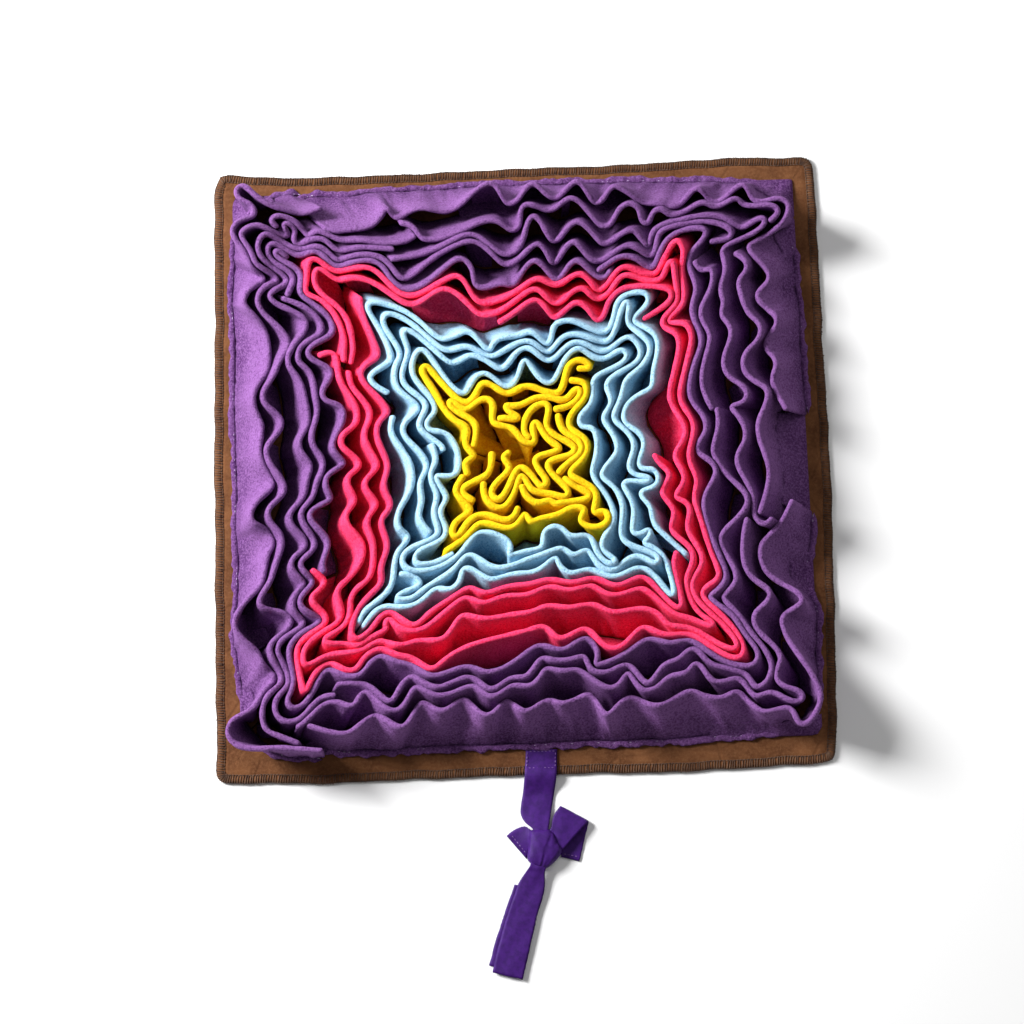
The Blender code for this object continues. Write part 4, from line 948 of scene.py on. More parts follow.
        (613, 569, 618, 560), (601, 551, 602, 535), (615, 519, 607, 496), (589, 475, 597, 457),
        (595, 426, 582, 428), (578, 416, 594, 402), (590, 379, 608, 370), (629, 358, 622, 347),
        (604, 360, 590, 354), (577, 343, 561, 360), (553, 385, 538, 378), (524, 354, 517, 382),
        (505, 388, 487, 371), (474, 377, 465, 399), (442, 376, 425, 346), (413, 355, 411, 374),
        (430, 392, 438, 411), (424, 421, 428, 433), (448, 432, 459, 452), (458, 474, 445, 476),
        (433, 474, 441, 488), (448, 498, 438, 511), (448, 528, 442, 541), (416, 549, 415, 565),
        (436, 563, 452, 554),
    ),
    "yellow_1": (
        (579, 368, 592, 368), (583, 359, 568, 363), (564, 384, 557, 397), (541, 391, 524, 384),
        (508, 396, 492, 384), (480, 381, 475, 394), (465, 404, 450, 390), (434, 371, 427, 364),
        (420, 372, 433, 391), (443, 409, 456, 421), (470, 427, 463, 445), (477, 455, 465, 461),
        (466, 468, 467, 474),
    ),
    "yellow_2": (
        (554, 408, 572, 405), (582, 392, 576, 387), (566, 402, 551, 398), (534, 398, 518, 407),
        (504, 404, 511, 413), (520, 417, 512, 420), (504, 419, 497, 420),
    ),
    "yellow_3": (
        (474, 445, 477, 425), (470, 418, 450, 409), (450, 399, 458, 403), (467, 411, 481, 397),
        (495, 402, 493, 419), (502, 424, 514, 426), (523, 441, 534, 443), (529, 427, 537, 420),
        (546, 439, 562, 447), (553, 452, 534, 457), (538, 468, 549, 481), (541, 489, 532, 474),
        (521, 465, 512, 482), (500, 502, 489, 492), (500, 478, 512, 467), (502, 457, 509, 452),
    ),
    "yellow_4": (
        (531, 437, 524, 432), (526, 413, 545, 399), (551, 408, 545, 425), (554, 435, 577, 446),
        (574, 457, 547, 460), (550, 472, 571, 487), (566, 499, 549, 491), (530, 492, 526, 479),
        (521, 476, 519, 494), (501, 510, 487, 500), (484, 490, 484, 483),
    ),
    "yellow_5": (
        (571, 380, 586, 382), (586, 397, 570, 411), (568, 429, 587, 437), (586, 458, 564, 474),
        (584, 484, 598, 496), (592, 514, 606, 509), (611, 522, 594, 528), (578, 520, 587, 509),
        (573, 505, 558, 515), (541, 517, 531, 523), (524, 511, 519, 520), (508, 529, 480, 519),
        (470, 533, 446, 551),
    ),
    "yellow_6": (
        (464, 477, 456, 490), (466, 502, 473, 511), (455, 520, 452, 535), (461, 537, 468, 520),
        (484, 513, 507, 522), (516, 516, 518, 508),
    ),
    "yellow_7": (
        (492, 453, 490, 473), (477, 479, 460, 487), (462, 496, 473, 500),
    ),
    "yellow_8": (
        (565, 477, 576, 485), (593, 491, 584, 499), (563, 501, 555, 503), (550, 499, 538, 504),
        (526, 494, 521, 484),
    ),
    "yellow_9": (
        (558, 415, 562, 431), (579, 439, 582, 451), (570, 462, 562, 474),
    ),
    "red_5": (
        (645, 318, 662, 308), (673, 298, 670, 284), (655, 280, 632, 284), (617, 290, 607, 302),
        (604, 316, 597, 321), (588, 308, 576, 301), (565, 311, 554, 320), (545, 305, 534, 298),
        (516, 312, 500, 322),
    ),
}


# ---------------------------------------------------------------------------------------------- ruffle paths


# Height of the seams over the floor, and the fleece's width from seam to rim
FOOT = 0.0034
FLEECE_WIDTH = 0.0455


@dataclass
class Strip:
    """One fleece strip while it is laid out."""

    name: str
    colour: FleeceColour
    rim: Array
    seam: Array
    height: Array
    kept: list[int] = field(default_factory=list)

    @property
    def node(self) -> str:
        """The construction node that it stands for."""
        return f"ruffle_{self.name}"


@dataclass
class Gathering:
    """How strips of fleece are gathered into seams and lean over them, in metres."""

    foot: float = FOOT
    width: float = FLEECE_WIDTH
    least_rise: float = 0.034
    rim_samples: int = 6
    seam_step: float = 0.002
    seam_keep: float = 0.38
    turn_tolerance: float = 0.0027
    longest_facet: float = 0.05
    squareness: float = 6.0
    spread_reach: float = 0.09
    spread_turn: float = 0.04
    spread_side: float = 0.021
    spread_away: float = 0.023
    spread_ribbon: float = 0.020
    field_low: tuple[float, float] = (-0.2280, -0.2255)
    field_high: tuple[float, float] = (0.2325, 0.2310)
    edge_strips: tuple[str, ...] = ("purple_1", "purple_2", "purple_3")
    edge_pull: float = 0.85
    edge_squareness: float = 9.0
    most_lean: float = 0.032
    edge_lean: float = 0.038
    inner_reach: float = 0.955
    overrun: float = 0.15
    smoothing: dict[FleeceColour, float] = field(
        default_factory=lambda: {
            FleeceColour.PURPLE: 0.017,
            FleeceColour.RED: 0.017,
            FleeceColour.BLUE: 0.013,
            FleeceColour.YELLOW: 0.011,
        }
    )

    def gathered(self, path: Array, spread: float) -> Array:
        """The path with its folds smoothed away, as where the cloth is gathered into its seam."""
        lengths = Curves.lengths(path)
        count = max(4, int(lengths[-1] / self.seam_step))
        even = np.linspace(0, lengths[-1], count)
        line = np.stack([np.interp(even, lengths, path[:, k]) for k in range(2)], axis=1)
        reach = min(count - 1, int(3 * spread / (even[1] - even[0])) + 1)
        head = 2 * line[0] - line[reach:0:-1]
        tail = 2 * line[-1] - line[-2 : -reach - 2 : -1]
        padded = np.vstack([head, line, tail])
        offsets = np.arange(-reach, reach + 1) * (even[1] - even[0])
        weights = np.exp(-0.5 * (offsets / spread) ** 2)
        weights /= weights.sum()
        soft = np.stack([np.convolve(padded[:, k], weights, "valid") for k in range(2)], axis=1)
        return np.stack([np.interp(lengths, even, soft[:, k]) for k in range(2)], axis=1)

    def spread_out(self, path: Array) -> Array:
        """Moves seam points outwards from their rims, more towards the edge of the field."""
        distance = np.maximum((np.abs(path) ** self.squareness).sum(axis=1) ** (1 / self.squareness), 1e-6)
        share = np.tanh(distance / self.spread_reach) / distance
        side = 0.5 + 0.5 * np.tanh(path[:, 1] / self.spread_turn)
        lengthwise = self.spread_ribbon + (self.spread_away - self.spread_ribbon) * side
        factor = np.stack([1 + self.spread_side * share, 1 + lengthwise * share], axis=1)
        return path * factor

    def sewn_within(self, seam: Array, rim: Array, at_edge: bool) -> Array:
        """Draws an outermost strip's seam out towards the field's edge, and keeps the others inside it."""
        low, high = np.array(self.field_low), np.array(self.field_high)
        middle, half = (low + high) / 2, (high - low) / 2
        power = self.edge_squareness
        reach = (np.abs((seam - middle) / half) ** power).sum(axis=1) ** (1 / power)
        if at_edge:
            wanted = reach + self.edge_pull * (1 - reach)
        else:
            over = np.maximum(reach - self.inner_reach, 0)
            wanted = np.minimum(reach, self.inner_reach + self.overrun * over)
        lean = middle + (seam - middle) * (wanted / reach)[:, None] - rim
        length = np.maximum(np.linalg.norm(lean, axis=1), 1e-6)
        most = self.edge_lean if at_edge else self.most_lean
        return rim + lean * np.minimum(1, most / length)[:, None]

    def kept_points(self, rim: Array, seam: Array) -> list[int]:
        """Indices of the few points that keep rim and seam within the turn tolerance."""
        both = np.hstack([rim, seam])
        kept = {0, len(both) - 1}
        spans = [(0, len(both) - 1)]
        while spans:
            first, last = spans.pop()
            if last - first < 2:
                continue
            chord = both[last] - both[first]
            length = np.linalg.norm(rim[last] - rim[first])
            offset = both[first + 1 : last] - both[first]
            share = np.clip(offset @ chord / max(chord @ chord, 1e-12), 0, 1)
            miss = np.linalg.norm(offset - share[:, None] * chord, axis=1)
            if miss.max() < self.turn_tolerance and length < self.longest_facet:
                continue
            middle = first + 1 + int(miss.argmax())
            kept.add(middle)
            spans += [(first, middle), (middle, last)]
        return sorted(kept)

    def strip(self, name: str, rows: Rows) -> Strip:
        """Lays out one strip.

        Args:
            name: its name in the table, which starts with its colour.
            rows: its folds.

        Returns:
            The strip with its finely sampled rim and seam.
        """
        colour = FleeceColour(name.split("_")[0])
        turns = np.array(rows, float).reshape(-1, 2)
        grid_rim = Curves.smooth(turns, self.rim_samples)
        height = np.full(len(grid_rim), self.foot + self.width)
        for _ in range(3):
            rim = GRID.on_plan(grid_rim, height)
            seam = self.seam_keep * rim + (1 - self.seam_keep) * self.gathered(rim, self.smoothing[colour])
            seam = self.spread_out(seam)
            seam = self.sewn_within(seam, rim, name in self.edge_strips)
            lean = np.linalg.norm(rim - seam, axis=1)
            height = self.foot + np.sqrt(np.maximum(self.width**2 - lean**2, self.least_rise**2))
        return Strip(name, colour, rim, seam, height, self.kept_points(rim, seam))


# Rims drawn closer than this keep their drawn sides, and the share by which a lone point is drawn back
RIMS_NEAR = 0.012
EASE_SHARE = 0.04

# Lengths are never divided by less than this
TINY = 1e-7


@dataclass
class Posts:
    """The posts that are kept apart. Each stands on its strip from a seam point to a rim point.

    Each field has an entry for each post: the index of its rim point and of its seam point, its strip, its
    rim point's place on the strip, its distance along the strip, and its rim's height over the foot.
    """

    upper: Array
    lower: Array
    owner: Array
    place: Array
    along: Array
    rise: Array

    @staticmethod
    def standing(strips: list[Strip], chosen: list[Array], diagonals: bool) -> "Posts":
        """Stands a post on each chosen point and, where wanted, along each facet's diagonal."""
        sizes = [len(points) for points in chosen]
        first = np.concatenate([[0], np.cumsum(sizes)[:-1]])
        if diagonals:
            twice = [start + np.repeat(np.arange(size), 2) for start, size in zip(first, sizes)]
            upper = np.concatenate([points[:-1] for points in twice])
            lower = np.concatenate([points[1:] for points in twice])
            owner = np.concatenate([np.full(2 * size - 1, k) for k, size in enumerate(sizes)])
        else:
            upper = lower = np.arange(sum(sizes))
            owner = np.concatenate([np.full(size, k) for k, size in enumerate(sizes)])
        both = list(zip(strips, chosen))
        travelled = np.concatenate([Curves.lengths(strip.rim[points]) for strip, points in both])
        rise = np.concatenate([strip.height[points] for strip, points in both]) - FOOT
        along = (travelled[upper] + travelled[lower]) / 2
        return Posts(upper, lower, owner, upper - first[owner], along, (rise[upper] + rise[lower]) / 2)


@dataclass
class Settling:
    """Pushes strips apart, a little at a time, until each clears the others and its own folds."""

    wanted: float
    rounds: int
    levels: tuple[float, ...] = (0.0, 0.2, 0.4, 0.6, 0.8, 1.0)
    reach: float = 0.008
    neighbour: float = 0.0065
    crossed: float = 0.0028
    rate: float = 1.2
    refresh: int = 20

    def settle(self, strips: list[Strip], diagonals: bool) -> tuple[list[Array], list[Array]]:
        """Runs the rounds.

        Args:
            strips: the strips, sampled at their kept points when diagonals is true and finely when it isn't.
            diagonals: whether each facet's diagonal is read as a post too.

        Returns:
            Rim and seam of each strip, where they come to rest.
        """
        chosen = [np.array(strip.kept) if diagonals else np.arange(len(strip.rim)) for strip in strips]
        rim = np.vstack([strip.rim[points] for strip, points in zip(strips, chosen)])
        seam = np.vstack([strip.seam[points] for strip, points in zip(strips, chosen)])
        posts = Posts.standing(strips, chosen, diagonals)
        first_rim = rim[posts.upper].copy()
        known: dict[tuple[int, int], float] = {}
        for turn in range(self.rounds):
            if turn % self.refresh == 0:
                tops, feet = rim[posts.upper], seam[posts.lower]
                pairs = self._near_pairs(tops, feet, posts)
                if diagonals:
                    side = self._coarse_sides(pairs, strips, posts, known)
                else:
                    side = self._fine_sides(pairs, first_rim, tops, feet)
            moves, hits = self._pushes(rim, seam, posts, pairs, side)
            if not hits.any():
                break
            rim = rim + moves[0] * (self.rate / np.maximum(hits[0], 1))[:, None]
            seam = seam + moves[1] * (self.rate / np.maximum(hits[1], 1))[:, None]
            if not diagonals:
                rim, seam = self._eased(rim, posts.owner), self._eased(seam, posts.owner)
        ends = np.cumsum([len(points) for points in chosen])[:-1]
        return np.split(rim, ends), np.split(seam, ends)

    def _pushes(
        self, rim: Array, seam: Array, posts: Posts, pairs: tuple[Array, Array], side: Array
    ) -> tuple[Array, Array]:
        """Adds up what moves the points in one round.

        Args:
            rim: the rim points.
            seam: the seam points.
            posts: the posts.
            pairs: which posts and facets may touch.
            side: the side of the facet where the post belongs, for each pair.

        Returns:
            The moves of rim and seam points, and how often each was pushed.
        """
        moves = np.zeros((2, *rim.shape))
        hits = np.zeros((2, len(rim)))
        for level in self.levels:
            raised = np.minimum(level * FLEECE_WIDTH / posts.rise, 1)
            line = (1 - raised)[:, None] * seam[posts.lower] + raised[:, None] * rim[posts.upper]
            point, start = pairs
            base, edge = line[start], line[start + 1] - line[start]
            length = np.maximum(np.linalg.norm(edge, axis=1), TINY)
            offset = line[point] - base
            share = np.clip((offset * edge).sum(1) / length**2, 0, 1)
            away = offset - share[:, None] * edge
            distance = np.maximum(np.linalg.norm(away, axis=1), TINY)
            normal = np.stack([-edge[:, 1], edge[:, 0]], axis=1) * (side / length)[:, None]
            beside = (share > 0) & (share < 1) & (distance < self.crossed)
            crossed = beside & ((offset * normal).sum(1) < 0)
            close = crossed | (distance < self.wanted)
            push = away * ((self.wanted - distance) / distance)[:, None]
            push[crossed] = normal[crossed] * (self.wanted + distance[crossed])[:, None]
            push = push[close] / 2
            point, start, share = point[close], start[close], share[close]
            for target, weight in ((point, np.ones(len(point))), (start, share - 1), (start + 1, -share)):
                high, low = weight * raised[target], weight * (1 - raised[target])
                np.add.at(moves[0], posts.upper[target], push * high[:, None])
                np.add.at(moves[1], posts.lower[target], push * low[:, None])
                np.add.at(hits[0], posts.upper[target], np.abs(high))
                np.add.at(hits[1], posts.lower[target], np.abs(low))
        return moves, hits

    @staticmethod
    def _eased(line: Array, owner: Array) -> Array:
        """The line with single points that stick out drawn back a little towards their neighbours."""
        inner = np.flatnonzero((owner[:-2] == owner[1:-1]) & (owner[1:-1] == owner[2:])) + 1
        middle = (line[inner - 1] + line[inner + 1]) / 2
        eased = line.copy()
        eased[inner] += EASE_SHARE * (middle - line[inner])
        return eased

    @staticmethod
    def _coarse_sides(
        pairs: tuple[Array, Array], strips: list[Strip], posts: Posts, known: dict[tuple[int, int], float]
    ) -> Array:
        """Each near point's side of the facet's own rim curve: 1 on its left, -1 on its right."""
        sides = []
        for point, start in zip(*pairs):
            if (point, start) not in known:
                own, other = strips[posts.owner[point]], strips[posts.owner[start]]
                spot = own.rim[own.kept[posts.place[point]]]
                near = other.kept[posts.place[start]]
                far = other.kept[min(posts.place[start] + 1, len(other.kept) - 1)]
                curve = other.rim[near : far + 1]
                steps = np.diff(curve, axis=0)
                gaps = np.linalg.norm((curve[1:] + curve[:-1]) / 2 - spot, axis=1)
                closest = int(gaps.argmin())
                reach = spot - curve[closest]
                turn = steps[closest][0] * reach[1] - steps[closest][1] * reach[0]
                known[(point, start)] = 1.0 if turn > 0 else -1.0
            sides.append(known[(point, start)])
        return np.array(sides)

    @staticmethod
    def _fine_sides(pairs: tuple[Array, Array], first_rim: Array, rim: Array, seam: Array) -> Array:
        """Sides from the rims as first drawn where those are near, and from the present walls elsewhere."""
        point, start = pairs

        def turn_of(line: Array) -> tuple[Array, Array]:
            """Which way each point lies of its facet, and how far."""
            edge, reach = line[start + 1] - line[start], line[point] - line[start]
            return edge[:, 0] * reach[:, 1] - edge[:, 1] * reach[:, 0], np.linalg.norm(reach, axis=1)

        drawn, distance = turn_of(first_rim)
        present, _ = turn_of((rim + seam) / 2)
        return np.where(np.where(distance < RIMS_NEAR, drawn, present) > 0, 1.0, -1.0)

    def _near_pairs(self, rim: Array, seam: Array, posts: Posts) -> tuple[Array, Array]:
        """Which posts and facets may touch: post indices, and the index of each facet's first post."""
        owner, along = posts.owner, posts.along
        starts = np.flatnonzero(owner[:-1] == owner[1:])
        found = set()
        for level in (0.0, 0.5, 1.0):
            line = seam + level * (rim - seam)
            middle = (line[starts] + line[starts + 1]) / 2
            half = np.linalg.norm(line[starts + 1] - line[starts], axis=1) / 2
            tree = KDTree(len(line))
            for index, spot in enumerate(line):
                tree.insert((*spot, 0.0), index)
            tree.balance()
            for facet, spot, extra in zip(starts.tolist(), middle, half.tolist()):
                for _, index, _ in tree.find_range((*spot, 0.0), self.reach + extra):
                    found.add((index, facet))
        pairs = np.array(sorted(found))
        point, start = pairs[:, 0], pairs[:, 1]
        same = owner[point] == owner[start]
        apart = np.maximum(along[start] - along[point], along[point] - along[start + 1])
        touching = (point - start <= 3) & (start - point <= 2)
        neighbour = same & (touching | (apart < self.neighbour))
        return point[~neighbour], start[~neighbour]


# ------------------------------------------------------------------------------------------ the fleece field


@dataclass(frozen=True)
class WallSizes:
    """A wall's sizes in metres: its thickness, its rim's puff, and its unevenness, lumps and pleats."""

    half_thickness: float = 0.00170
    rim_puff: float = 0.00050
    loose_puff: float = 0.00095
    rim_unevenness: float = 0.0004
    rim_pitch: float = 0.021
    lumpiness: float = 0.10
    lump_pitch: float = 0.006
    pleat_pitch: float = 0.010
    pleat_depth: float = 0.0019
    levels: tuple[float, ...] = (0.0, 0.1, 0.22, 0.36, 0.5, 0.64, 0.77, 0.88, 0.96, 1.0)
    rim_turns: int = 4
    # Rise value at the top of a face, just under the rim cap's 1: low rise gives the fleece painted shade,
    # and the painted highlight sits mostly on the cap.
    face_rise: float = 0.95


@dataclass(frozen=True)
class LipSizes:
    """Sizes in metres of the turned seam edge outside the outermost walls, and of its stitches."""

    belt: float = 0.011
    reach: float = 0.0030
    width: float = 0.0026
    height: float = 0.0017
    sides: int = 12
    least: int = 14
    step: float = 0.0012
    smoothing: float = 0.006
    taper: float = 0.006
    pitch: float = 0.0065
    sway: float = 0.0006
    # Rise value of the lip's fleece, low enough to give it painted shade.
    rise: float = 0.32
    stitch_reach: float = 0.0021
    stitch_level: float = 0.0024
    stitch_length: float = 0.0019
    stitch_pitch: float = 0.0042
    stitch_radius: float = 0.00026


@dataclass(frozen=True)
class FallSizes:
    """Sizes in metres of the falling pleats, the shares of a wall where they start, and their spare cloth."""

    step: float = 0.0022
    rounding: int = 12
    shortest: int = 4
    own_wall: float = 0.0035
    least: float = 0.0025
    most: float = 0.030
    clearance: float = 0.0036
    thickness: float = 0.0026
    ripple: float = 0.0011
    pitch: float = 0.007
    trims: int = 3
    spike: float = 0.0006
    sag: float = 0.06
    levels: tuple[float, ...] = (0.0, 0.12, 0.28, 0.45, 0.62, 0.78, 0.9, 0.97, 1.0)
    # Rise value at a fall's far end, low so that the painted shade darkens it there.
    foot_rise: float = 0.06
    inner_start: float = 0.62
    loose_start: float = 0.42
    outer_start: float = 0.3
    spare_share: float = 0.46


@dataclass
class FleeceField:
    """All the fleece ruffles: their paths, walls with rounded rims, falling pleats and lumpy outer seams.

    Spare is how much cloth the present strip's falls can still take, in square metres.
    """

    rows: dict[str, Rows]
    gathering: Gathering = field(default_factory=Gathering)
    walls: WallSizes = field(default_factory=WallSizes)
    lips: LipSizes = field(default_factory=LipSizes)
    falls: FallSizes = field(default_factory=FallSizes)
    hidden_width: float = 0.0025
    sunk: float = 0.0002
    coarse_gap: float = 0.0022 + 0.0004 + 0.0016
    coarse_rounds: int = 300
    fine_gap: float = 0.0039
    fine_rounds: int = 60
    quick_rounds: int = 10
    fine_levels: tuple[float, ...] = (0.0, 0.33, 0.66, 1.0)
    rounding: int = 6
    spare: float = 0.0
    strips: list[Strip] = field(default_factory=list)

    def lay_out(self) -> None:
        """Places every strip: first its few kept points, then the fine path between them."""
        self.strips = [self.gathering.strip(name, rows) for name, rows in self.rows.items()]
        rims, seams = Settling(self.coarse_gap, self.coarse_rounds).settle(self.strips, True)
        for strip, rim, seam in zip(self.strips, rims, seams):
            where = Curves.lengths(strip.rim)
            known = where[strip.kept]
            for line, moved in ((strip.rim, rim), (strip.seam, seam)):
                shift = moved - line[strip.kept]
                line += np.stack([np.interp(where, known, shift[:, k]) for k in range(2)], axis=1)
                self._rounded(line, self.rounding)
        rounds = self.fine_rounds
        rims, seams = Settling(self.fine_gap, rounds, levels=self.fine_levels).settle(self.strips, False)
        for strip, rim, seam in zip(self.strips, rims, seams):
            strip.rim, strip.seam = self._rounded(rim, 1), self._rounded(seam, 2)
        log.info("laid out %d strips", len(self.strips))

    @staticmethod
    def _rounded(line: Array, times: int) -> Array:
        """The line itself, its corners rounded off in place."""
        for _ in range(times):
            line[1:-1] = (line[:-2] + 2 * line[1:-1] + line[2:]) / 4
        return line

    def wall(self, strip: Strip, seed: int) -> Shape:
        """The strip as a thin closed wall: two faces, a rounded rim and rounded ends."""
        shape = Shape()
        foot = self.gathering.foot
        along = Curves.lengths(strip.rim)
        unevenness = self.walls.rim_unevenness * Curves.wander(along, self.walls.rim_pitch, seed)
        rim = np.column_stack([strip.rim, strip.height + unevenness])
        seam = np.column_stack([strip.seam, np.full(len(strip.seam), foot)])
        rim[:, 2] -= self.walls.half_thickness
        share = np.array(self.walls.levels)
        surface = seam[:, None] + share[None, :, None] * (rim - seam)[:, None]
        face = self._faces(surface)
        on_seam = Curves.lengths(strip.seam)
        pleat = Curves.wander(on_seam, self.walls.pleat_pitch / 2, seed + 50, 1) * self.walls.pleat_depth
        shape_of_pleat = np.sin(np.pi * np.clip(share * 1.15 + 0.12, 0, 1)) ** 1.5 * (1 - share)
        surface = surface + face * (pleat[:, None] * shape_of_pleat[None])[..., None]
        soft = 1 + self.walls.lumpiness * Curves.wander(along, self.walls.lump_pitch, seed + 90)
        puff = self.walls.loose_puff if strip.colour is FleeceColour.YELLOW else self.walls.rim_puff
        half = (self.walls.half_thickness + puff * (share[None] > 0.9)) * soft[:, None]
        upward = Curves.unit(rim - seam)
        turns = np.linspace(0, math.pi, self.walls.rim_turns + 2)[1:-1]
        left = surface + face * half[..., None]
        right = (surface - face * half[..., None])[:, ::-1]
        top, top_half = surface[:, -1], half[:, -1]
        cap = [top + top_half[:, None] * (math.cos(t) * face[:, -1] + math.sin(t) * upward) for t in turns]
        rings = np.concatenate([left, np.stack(cap, axis=1), right], axis=1)
        # Rise of each point across the wall: low near the seam for painted shade, 1 on the rim cap for the
        # painted highlight.
        values = self.walls.face_rise * share
        values = np.concatenate([values, np.ones(len(turns)), values[::-1]])
        rings = self._rounded_ends(rings, surface)
        shape.add_rings(rings, np.broadcast_to(values, (len(rings), len(values))))
        return shape

    @staticmethod
    def _faces(surface: Array) -> Array:
        """Outward direction of the wall's left face at each point, kept from turning over near the seam."""
        travel = np.gradient(surface, axis=0)
        upward = np.gradient(surface, axis=1)
        face = Curves.unit(np.cross(travel, upward))
        for level in range(face.shape[1] - 2, -1, -1):
            above = face[:, level + 1]
            turned = (face[:, level] * above).sum(1) < 0.2
            face[turned, level] = above[turned]
        return -face

    def _rounded_ends(self, rings: Array, surface: Array) -> Array:
        """The rings with two smaller ones added beyond each end."""
        top = surface[:, -1:].repeat(self.walls.rim_turns, axis=1)
        middle = np.concatenate([surface, top, surface[:, ::-1]], axis=1)
        ends = []
        for end, inner in ((0, 1), (-1, -2)):
            out = Curves.unit(middle[end] - middle[inner])
            thick = rings[end] - middle[end]
            near = middle[end] + thick * 0.8 + out * self.walls.half_thickness * 0.6
            far = middle[end] + thick * 0.35 + out * self.walls.half_thickness
            ends.append(np.stack([near, far]))
        return np.concatenate([ends[0][::-1], rings, ends[1]])

    def add_lip(self, shape: Shape, strip: Strip, seed: int) -> list[Array]:
        """Adds the turned seam edge that lies on the base outside the outermost walls.

        Args:
            shape: the strip's mesh so far.
            strip: the strip.
            seed: seed of its lumps.

        Returns:
            The stitch lines beside it.
        """
        low, high = np.array(self.gathering.field_low), np.array(self.gathering.field_high)
        gap = np.minimum(strip.seam - low, high - strip.seam)
        outer = gap.min(axis=1) < self.lips.belt
        lines = []
        for run in self._runs(outer, self.lips.least):
            path = self.gathering.gathered(strip.seam[run], self.lips.smoothing)
            path = Curves.resampled(path, self.lips.step)
            along = Curves.lengths(path)
            travel = Curves.unit(np.gradient(path, axis=0))
            out = np.stack([travel[:, 1], -travel[:, 0]], axis=1)
            middle = (low + high) / 2
            out *= np.sign(((path - middle) * out).sum(1))[:, None]
            lump = Curves.wander(along, self.lips.pitch, seed, 2)
            ends = np.clip(np.minimum(along, along[-1] - along) / self.lips.taper, 0.05, 1)
            centre = path + out * (self.lips.reach + self.lips.sway * lump * ends)[:, None]
            width = self.lips.width * (1 + 0.24 * lump) * ends
            tall = self.lips.height * (1 + 0.22 * Curves.wander(along, 0.005, seed + 7)) * ends
            turn = np.arange(self.lips.sides) * 2 * math.pi / self.lips.sides
            flat = centre[:, None] + out[:, None] * (width[:, None] * np.cos(turn)[None])[..., None]
            level = self.gathering.foot - self.sunk + tall[:, None] * (1 + np.sin(turn)[None])
            rings = np.concatenate([flat, level[..., None]], axis=2)
            shape.add_rings(rings[:, ::-1], np.full(rings.shape[:2], self.lips.rise))
            stitch = path + out * self.lips.stitch_reach
            level = np.full(len(stitch), self.gathering.foot + self.lips.stitch_level)
            lines.append(np.column_stack([stitch, level]))
        return lines

    def add_falls(self, shape: Shape, strip: Strip, walls: Array, borders: Array, seed: int) -> None:
        """Adds the pleats that fall from a wall to the next wall's foot or, outermost, to the border.

        Args:
            shape: the strip's mesh so far.
            strip: the strip.
            walls: both ends of every wall's seam facets, four numbers a row.
            borders: both ends of each side of the sewn field, four numbers a row.
            seed: seed of the ripples.
        """
        travelled = Curves.lengths(strip.seam)
        along = np.arange(0, travelled[-1], self.falls.step)
        lines = np.column_stack([strip.seam, strip.rim, strip.height])
        even = np.stack([np.interp(along, travelled, line) for line in lines.T], axis=1)
        seam, rim, height = even[:, :2], even[:, 2:4], even[:, 4]
        lean = self._rounded(rim - seam, self.falls.rounding)
        reach = np.linalg.norm(lean, axis=1)
        way = Curves.unit(lean)
        rise = height - self.gathering.foot
        free, _ = self._free_way(seam, way, walls)
        inward = (free - reach > self.falls.least) & np.isfinite(free)
        width = np.minimum(free - self.falls.clearance, reach + self.falls.most)
        part = self.falls.loose_start if strip.colour is FleeceColour.YELLOW else self.falls.inner_start
        self.spare = self.falls.spare_share * self.gathering.width * float(Curves.lengths(strip.rim)[-1])
        self._add_fall(shape, inward, (seam, way), (part * reach, width, part * rise), seed)
        free, met = self._free_way(seam, -way, np.vstack([walls, borders]))
        outward = (met >= len(walls)) & (free > self.falls.least) & (free < self.falls.most)
        start, top = -self.falls.outer_start * reach, self.falls.outer_start * rise
        self._add_fall(shape, outward, (seam, -way), (start, free, top), seed + 3)

    def _add_fall(
        self,
        shape: Shape,
        chosen: Array,
        lines: tuple[Array, Array],
        extent: tuple[Array, Array, Array],
        seed: int,
    ) -> None:
        """Adds the falls of one side, wherever chosen.

        Args:
            shape: the strip's mesh so far.
            chosen: which points have a fall.
            lines: the seam's points, and the way that the falls go.
            extent: where they start and end along that way, and how high over the foot they start.
            seed: seed of the ripples.
        """
        (seam, way), (start, end, top) = lines, extent
        lowest = self.gathering.foot - self.sunk
        across = np.array(self.falls.levels)
        for run in self._runs(chosen, self.falls.shortest):
            far = end[run]
            for _ in range(self.falls.trims):
                padded = np.concatenate([far[:1], far, far[-1:]])
                far = np.minimum(far, (padded[:-2] + padded[2:]) / 2 + self.falls.spike)
            count = len(far)
            place = np.arange(count) * self.falls.step
            ripple = Curves.wander(place, self.falls.pitch, seed, 2) * self.falls.ripple
            span = np.stack([far - start[run], -top[run]], axis=1)
            drop = np.linalg.norm(span, axis=1)
            used = float(drop.sum()) * self.falls.step
            if used > self.spare:
                continue
            self.spare -= used
            out = np.stack([-span[:, 1], span[:, 0]], axis=1) / drop[:, None]
            thick = self.falls.thickness / 2 * np.where(across > 0.95, 0.5, 1.0)
            sag = np.sin(np.pi * across)[None] * (ripple[:, None] - self.falls.sag * drop[:, None])
            skins = []
            for side in (1.0, -1.0):
                move = sag + side * thick[None]
                flat = start[run][:, None] + span[:, :1] * across[None] + out[:, :1] * move
                level = self.gathering.foot + top[run][:, None] + span[:, 1:] * across[None]
                level = level + out[:, 1:] * move
                plan = seam[run][:, None] + way[run][:, None] * flat[..., None]
                skins.append(np.concatenate([plan, np.maximum(level, lowest)[..., None]], axis=2))
            rings = np.concatenate([skins[0], skins[1][:, ::-1]], axis=1)
